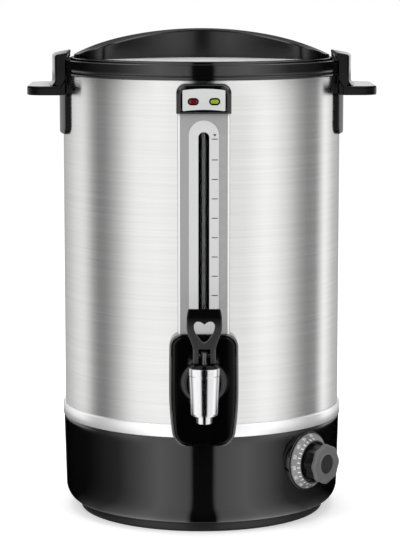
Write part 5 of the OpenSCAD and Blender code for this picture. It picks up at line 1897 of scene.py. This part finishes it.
@dataclass
class Studio:
    """Floor, lights, reflection screen, world and camera.

    A strip is a pair of degrees from the front, left of it below 0, and brightness; the screen is
    linear between strips.

    Args:
        distance: how far the camera stands from the urn's axis, in metres.
        height: the camera's height, in metres.
        turned: degrees that the camera stands to the left of the tap's axis.
        pitch: degrees that it looks down.
        shift: how far it stands to the side, in metres.
        lens: focal length in millimetres on a 36 mm sensor along the frame's long side.
        screen_radius: radius of the reflection screen, in metres.
        screen_top: its height, in metres.
        screen_low: height of its lower edge over the floor, in metres.
        screen_hole: radius of the hole in its floor, inside the urn's foot, in metres.
        jacket_zone: heights over which the plinth's strips pass into the jacket's, in metres.
        collar_zone: the same for the jacket's and the collar's.
        overhead_zone: the same for the collar's and those overhead.
        screen_strength: strength of the upright strips and of those overhead.
    """

    distance: float = 2.2763
    height: float = 0.5566
    turned: float = 0.8
    pitch: float = 8.069
    shift: float = -0.0015
    lens: float = 144.5
    screen_radius: float = 0.262
    screen_top: float = 0.8
    screen_low: float = 0.0006
    screen_hole: float = 0.128
    jacket_zone: tuple[float, float] = (0.056, 0.066)
    collar_zone: tuple[float, float] = (0.436, 0.442)
    overhead_zone: tuple[float, float] = (0.52, 0.60)
    screen_strength: tuple[float, float] = (1.4, 4.0)

    JACKET_STRIPS = (
        (-180, 0.8), (-142, 0.8), (-136, 0.30), (-111, 0.52), (-100, 0.68), (-90, 0.75), (-84, 0.60),
        (-78, 0.34), (-72, 0.19), (-65, 0.22), (-56, 0.44), (-47, 0.74), (-41, 0.86), (-27, 0.88),
        (-7.2, 0.80), (-6.7, 0.0), (6.7, 0.0), (7.2, 0.72), (25, 0.75), (38, 0.92), (46, 0.86), (55, 0.66),
        (65, 0.36),
        (73, 0.22), (83, 0.24), (94, 0.95), (104, 0.66), (111, 0.48), (136, 0.28), (142, 0.8), (180, 0.8))
    FRONT_STRIPS = (
        (-84, 0.0), (-73, 0.04), (-55, 0.15), (-41, 0.50), (-26, 0.95), (-9, 0.66), (-7.2, 0.62), (-6.7, 0.0),
        (6.7, 0.0), (7.2, 0.62), (9, 0.66), (26, 0.95), (41, 0.60), (54, 0.18), (72, 0.06), (90, 0.0))
    PLINTH_STRIPS = (
        (-180, 0.3), (-150, 0.1), (-130, 0.0), *FRONT_STRIPS, (130, 0.0), (150, 0.1), (180, 0.3))
    COLLAR_STRIPS = (
        (-180, 0.05), (-150, 0.05), (-138, 0.7), (-121, 0.7), (-115, 0.0), *FRONT_STRIPS, (115, 0.0),
        (121, 0.7), (138, 0.7), (150, 0.05), (180, 0.05))
    TOP_STRIPS = (
        (-180, 0.12), (-110, 0.08), (-80, 0.4), (-72, 0.9), (-52, 0.9), (-42, 0.03), (0, 0.01), (42, 0.03),
        (52, 0.9), (72, 0.9), (80, 0.4), (110, 0.08), (180, 0.12))

    def camera(self) -> None:
        """Sets the camera to the photograph's viewing angle."""
        data = bpy.data.cameras.new("camera")
        data.lens, data.sensor_width, data.clip_end = self.lens, 36.0, 50.0
        turn = Matrix.Rotation(math.radians(-self.turned), 4, "Z")
        place = turn @ Matrix.Translation((self.shift, -self.distance, self.height))
        seen = bpy.data.objects.new("camera", data)
        seen.matrix_world = place @ Matrix.Rotation(math.radians(90 - self.pitch), 4, "X")
        bpy.context.scene.collection.objects.link(seen)
        bpy.context.scene.camera = seen

    def world(self) -> None:
        """Makes the surroundings white for the lens, reflections and glass, and softer for the light."""
        world = bpy.data.worlds.new("studio")
        bpy.context.scene.world = world
        world.use_nodes = True
        nodes = Nodes(world.node_tree)
        path = nodes.add("ShaderNodeLightPath")
        seen = nodes.math("MAXIMUM", path.outputs["Is Camera Ray"], nodes.math(
            "MAXIMUM", path.outputs["Is Glossy Ray"], path.outputs["Is Transmission Ray"]))
        strength = nodes.ramp(seen, 0.0, 1.0, 0.75, 1.0)
        back = nodes.add("ShaderNodeBackground", {"Color": (1, 1, 1, 1), "Strength": strength})
        nodes.add("ShaderNodeOutputWorld", {"Surface": back.outputs[0]})

    def stage_piece(self, name: str, sheet: Sheet) -> tuple[bpy.types.Object, Nodes]:
        """Makes a piece of the set that isn't part of the urn, in metres, with an empty material.

        Args:
            name: the piece's name.
            sheet: its shape, in metres.
        Returns:
            The object and the nodes of its material.
        """
        made = placed(name, sheet.points.reshape(-1, 3), sheet.faces(0))
        material = bpy.data.materials.new(name)
        material.use_nodes = True
        made.data.materials.append(material)
        return made, Nodes(material.node_tree)

    def floor(self) -> None:
        """Lays the pale floor; the lens sees it a little brighter, and its shadow stays."""
        x, y = np.meshgrid([-9.0, 9.0], [-9.0, 9.0])
        _, nodes = self.stage_piece("floor", Sheet(points_of(x, y, 0.0), wrap_cols=False))
        path = nodes.add("ShaderNodeLightPath")
        matt = nodes.add("ShaderNodeBsdfDiffuse", {"Color": (0.9, 0.9, 0.9, 1)})
        glow = nodes.add("ShaderNodeEmission", {
            "Color": (1, 1, 1, 1), "Strength": nodes.ramp(path.outputs["Is Camera Ray"], 0, 1, 0.0, 0.35)})
        both = nodes.add("ShaderNodeAddShader", {0: matt.outputs[0], 1: glow.outputs[0]})
        nodes.add("ShaderNodeOutputMaterial", {"Surface": both.outputs[0]})

    def screen(self) -> None:
        """Stands a screen of light and dark upright strips round the urn for its reflections alone.

        Its brightness is a curve of the azimuth: one for the jacket's height, one each for the black
        plinth and the collar, and one overhead with two soft lamps.
        """
        r, low, top = self.screen_radius, self.screen_low, self.screen_top
        wall = [(r, top * k / 4) for k in (1, 2, 3, 4)]
        profile = [(self.screen_hole, low), (0.2, low), (r, low), *wall, (0.0, top)]
        sheet = turned(profile, segments=120, closed=False)
        made, nodes = self.stage_piece("reflection_screen", sheet)
        x, y, z = nodes.add("ShaderNodeSeparateXYZ", {0: nodes.place()}).outputs
        azimuth = nodes.math("ARCTAN2", x, nodes.math("MULTIPLY", y, -1.0))
        share = nodes.math("MULTIPLY_ADD", azimuth, 0.5 / math.pi, 0.5)
        stops = (self.JACKET_STRIPS, self.PLINTH_STRIPS, self.COLLAR_STRIPS, self.TOP_STRIPS)
        jacket, plinth, collar, above = (self.strips(nodes, share, each) for each in stops)
        overhead = nodes.ramp(z, *self.overhead_zone)
        level = nodes.mix(nodes.ramp(z, *self.jacket_zone), plinth, jacket)
        level = nodes.mix(nodes.ramp(z, *self.collar_zone), level, collar)
        level = nodes.mix(overhead, level, above)
        strength = nodes.ramp(overhead, 0.0, 1.0, *self.screen_strength)
        glow = nodes.add("ShaderNodeEmission", {"Color": level, "Strength": strength})
        nodes.add("ShaderNodeOutputMaterial", {"Surface": glow.outputs[0]})
        made.visible_camera = made.visible_diffuse = made.visible_transmission = False
        made.visible_shadow = made.visible_volume_scatter = False

    def strips(self, nodes: Nodes, share: Socket, stops: Sequence) -> Socket:
        """Lays a curve of brightness over the azimuth, from behind on the left to behind on the right.

        Args:
            nodes: the screen's nodes.
            share: the azimuth as a share of a turn, 0 behind on the left.
            stops: pairs of degrees and brightness.
        Returns:
            The brightness as a colour.
        """
        ramp = nodes.add("ShaderNodeValToRGB", {0: share})
        elements = ramp.color_ramp.elements
        elements.remove(elements[-1])
        for k, (degrees, level) in enumerate(stops):
            place = 0.5 + degrees / 360
            stop = elements[0] if k == 0 else elements.new(place)
            stop.position = place
            stop.color = (level, level, level, 1)
        return ramp.outputs[0]

    def lamp(self, name: str, place: tuple, aim: tuple, size: float, power: float) -> None:
        """Hangs one soft square lamp and points it.

        Args:
            name: the lamp's name.
            place: where it hangs, in metres.
            aim: the point that it faces.
            size: side of its square, in metres.
            power: its power in watts.
        """
        data = bpy.data.lights.new(name, "AREA")
        data.energy, data.size = power, size
        made = bpy.data.objects.new(name, data)
        facing = (Vector(aim) - Vector(place)).to_track_quat("-Z", "Y").to_matrix().to_4x4()
        made.matrix_world = Matrix.Translation(place) @ facing
        made.visible_glossy = False
        bpy.context.scene.collection.objects.link(made)

    def build(self) -> None:
        """Builds the studio."""
        bpy.context.scene.view_settings.view_transform = "Standard"
        for make in (self.camera, self.world, self.floor, self.screen):
            make()
        self.lamp("key", (-1.6, -1.8, 1.9), (0, 0, 0.25), 1.4, 24)
        self.lamp("fill", (1.8, -1.6, 1.5), (0, 0, 0.25), 1.4, 16)
        self.lamp("top", (0.0, 0.3, 2.4), (0, 0, 0.3), 1.6, 16)


# ---- All together ------------------------------------------------------------------------------


def main() -> None:
    """Builds the urn's pieces and the studio."""
    logging.basicConfig(level=logging.INFO, format="%(name)s: %(message)s")
    Studio().build()
    dress_kept()
    for part in (Shell(), Lid(), SideHandle(1), SideHandle(-1), LampBox(), WaterGauge(), Tap(), Knob()):
        LOG.info("building %s", type(part).__name__)
        part.build()


if __name__ == "__main__":
    main()
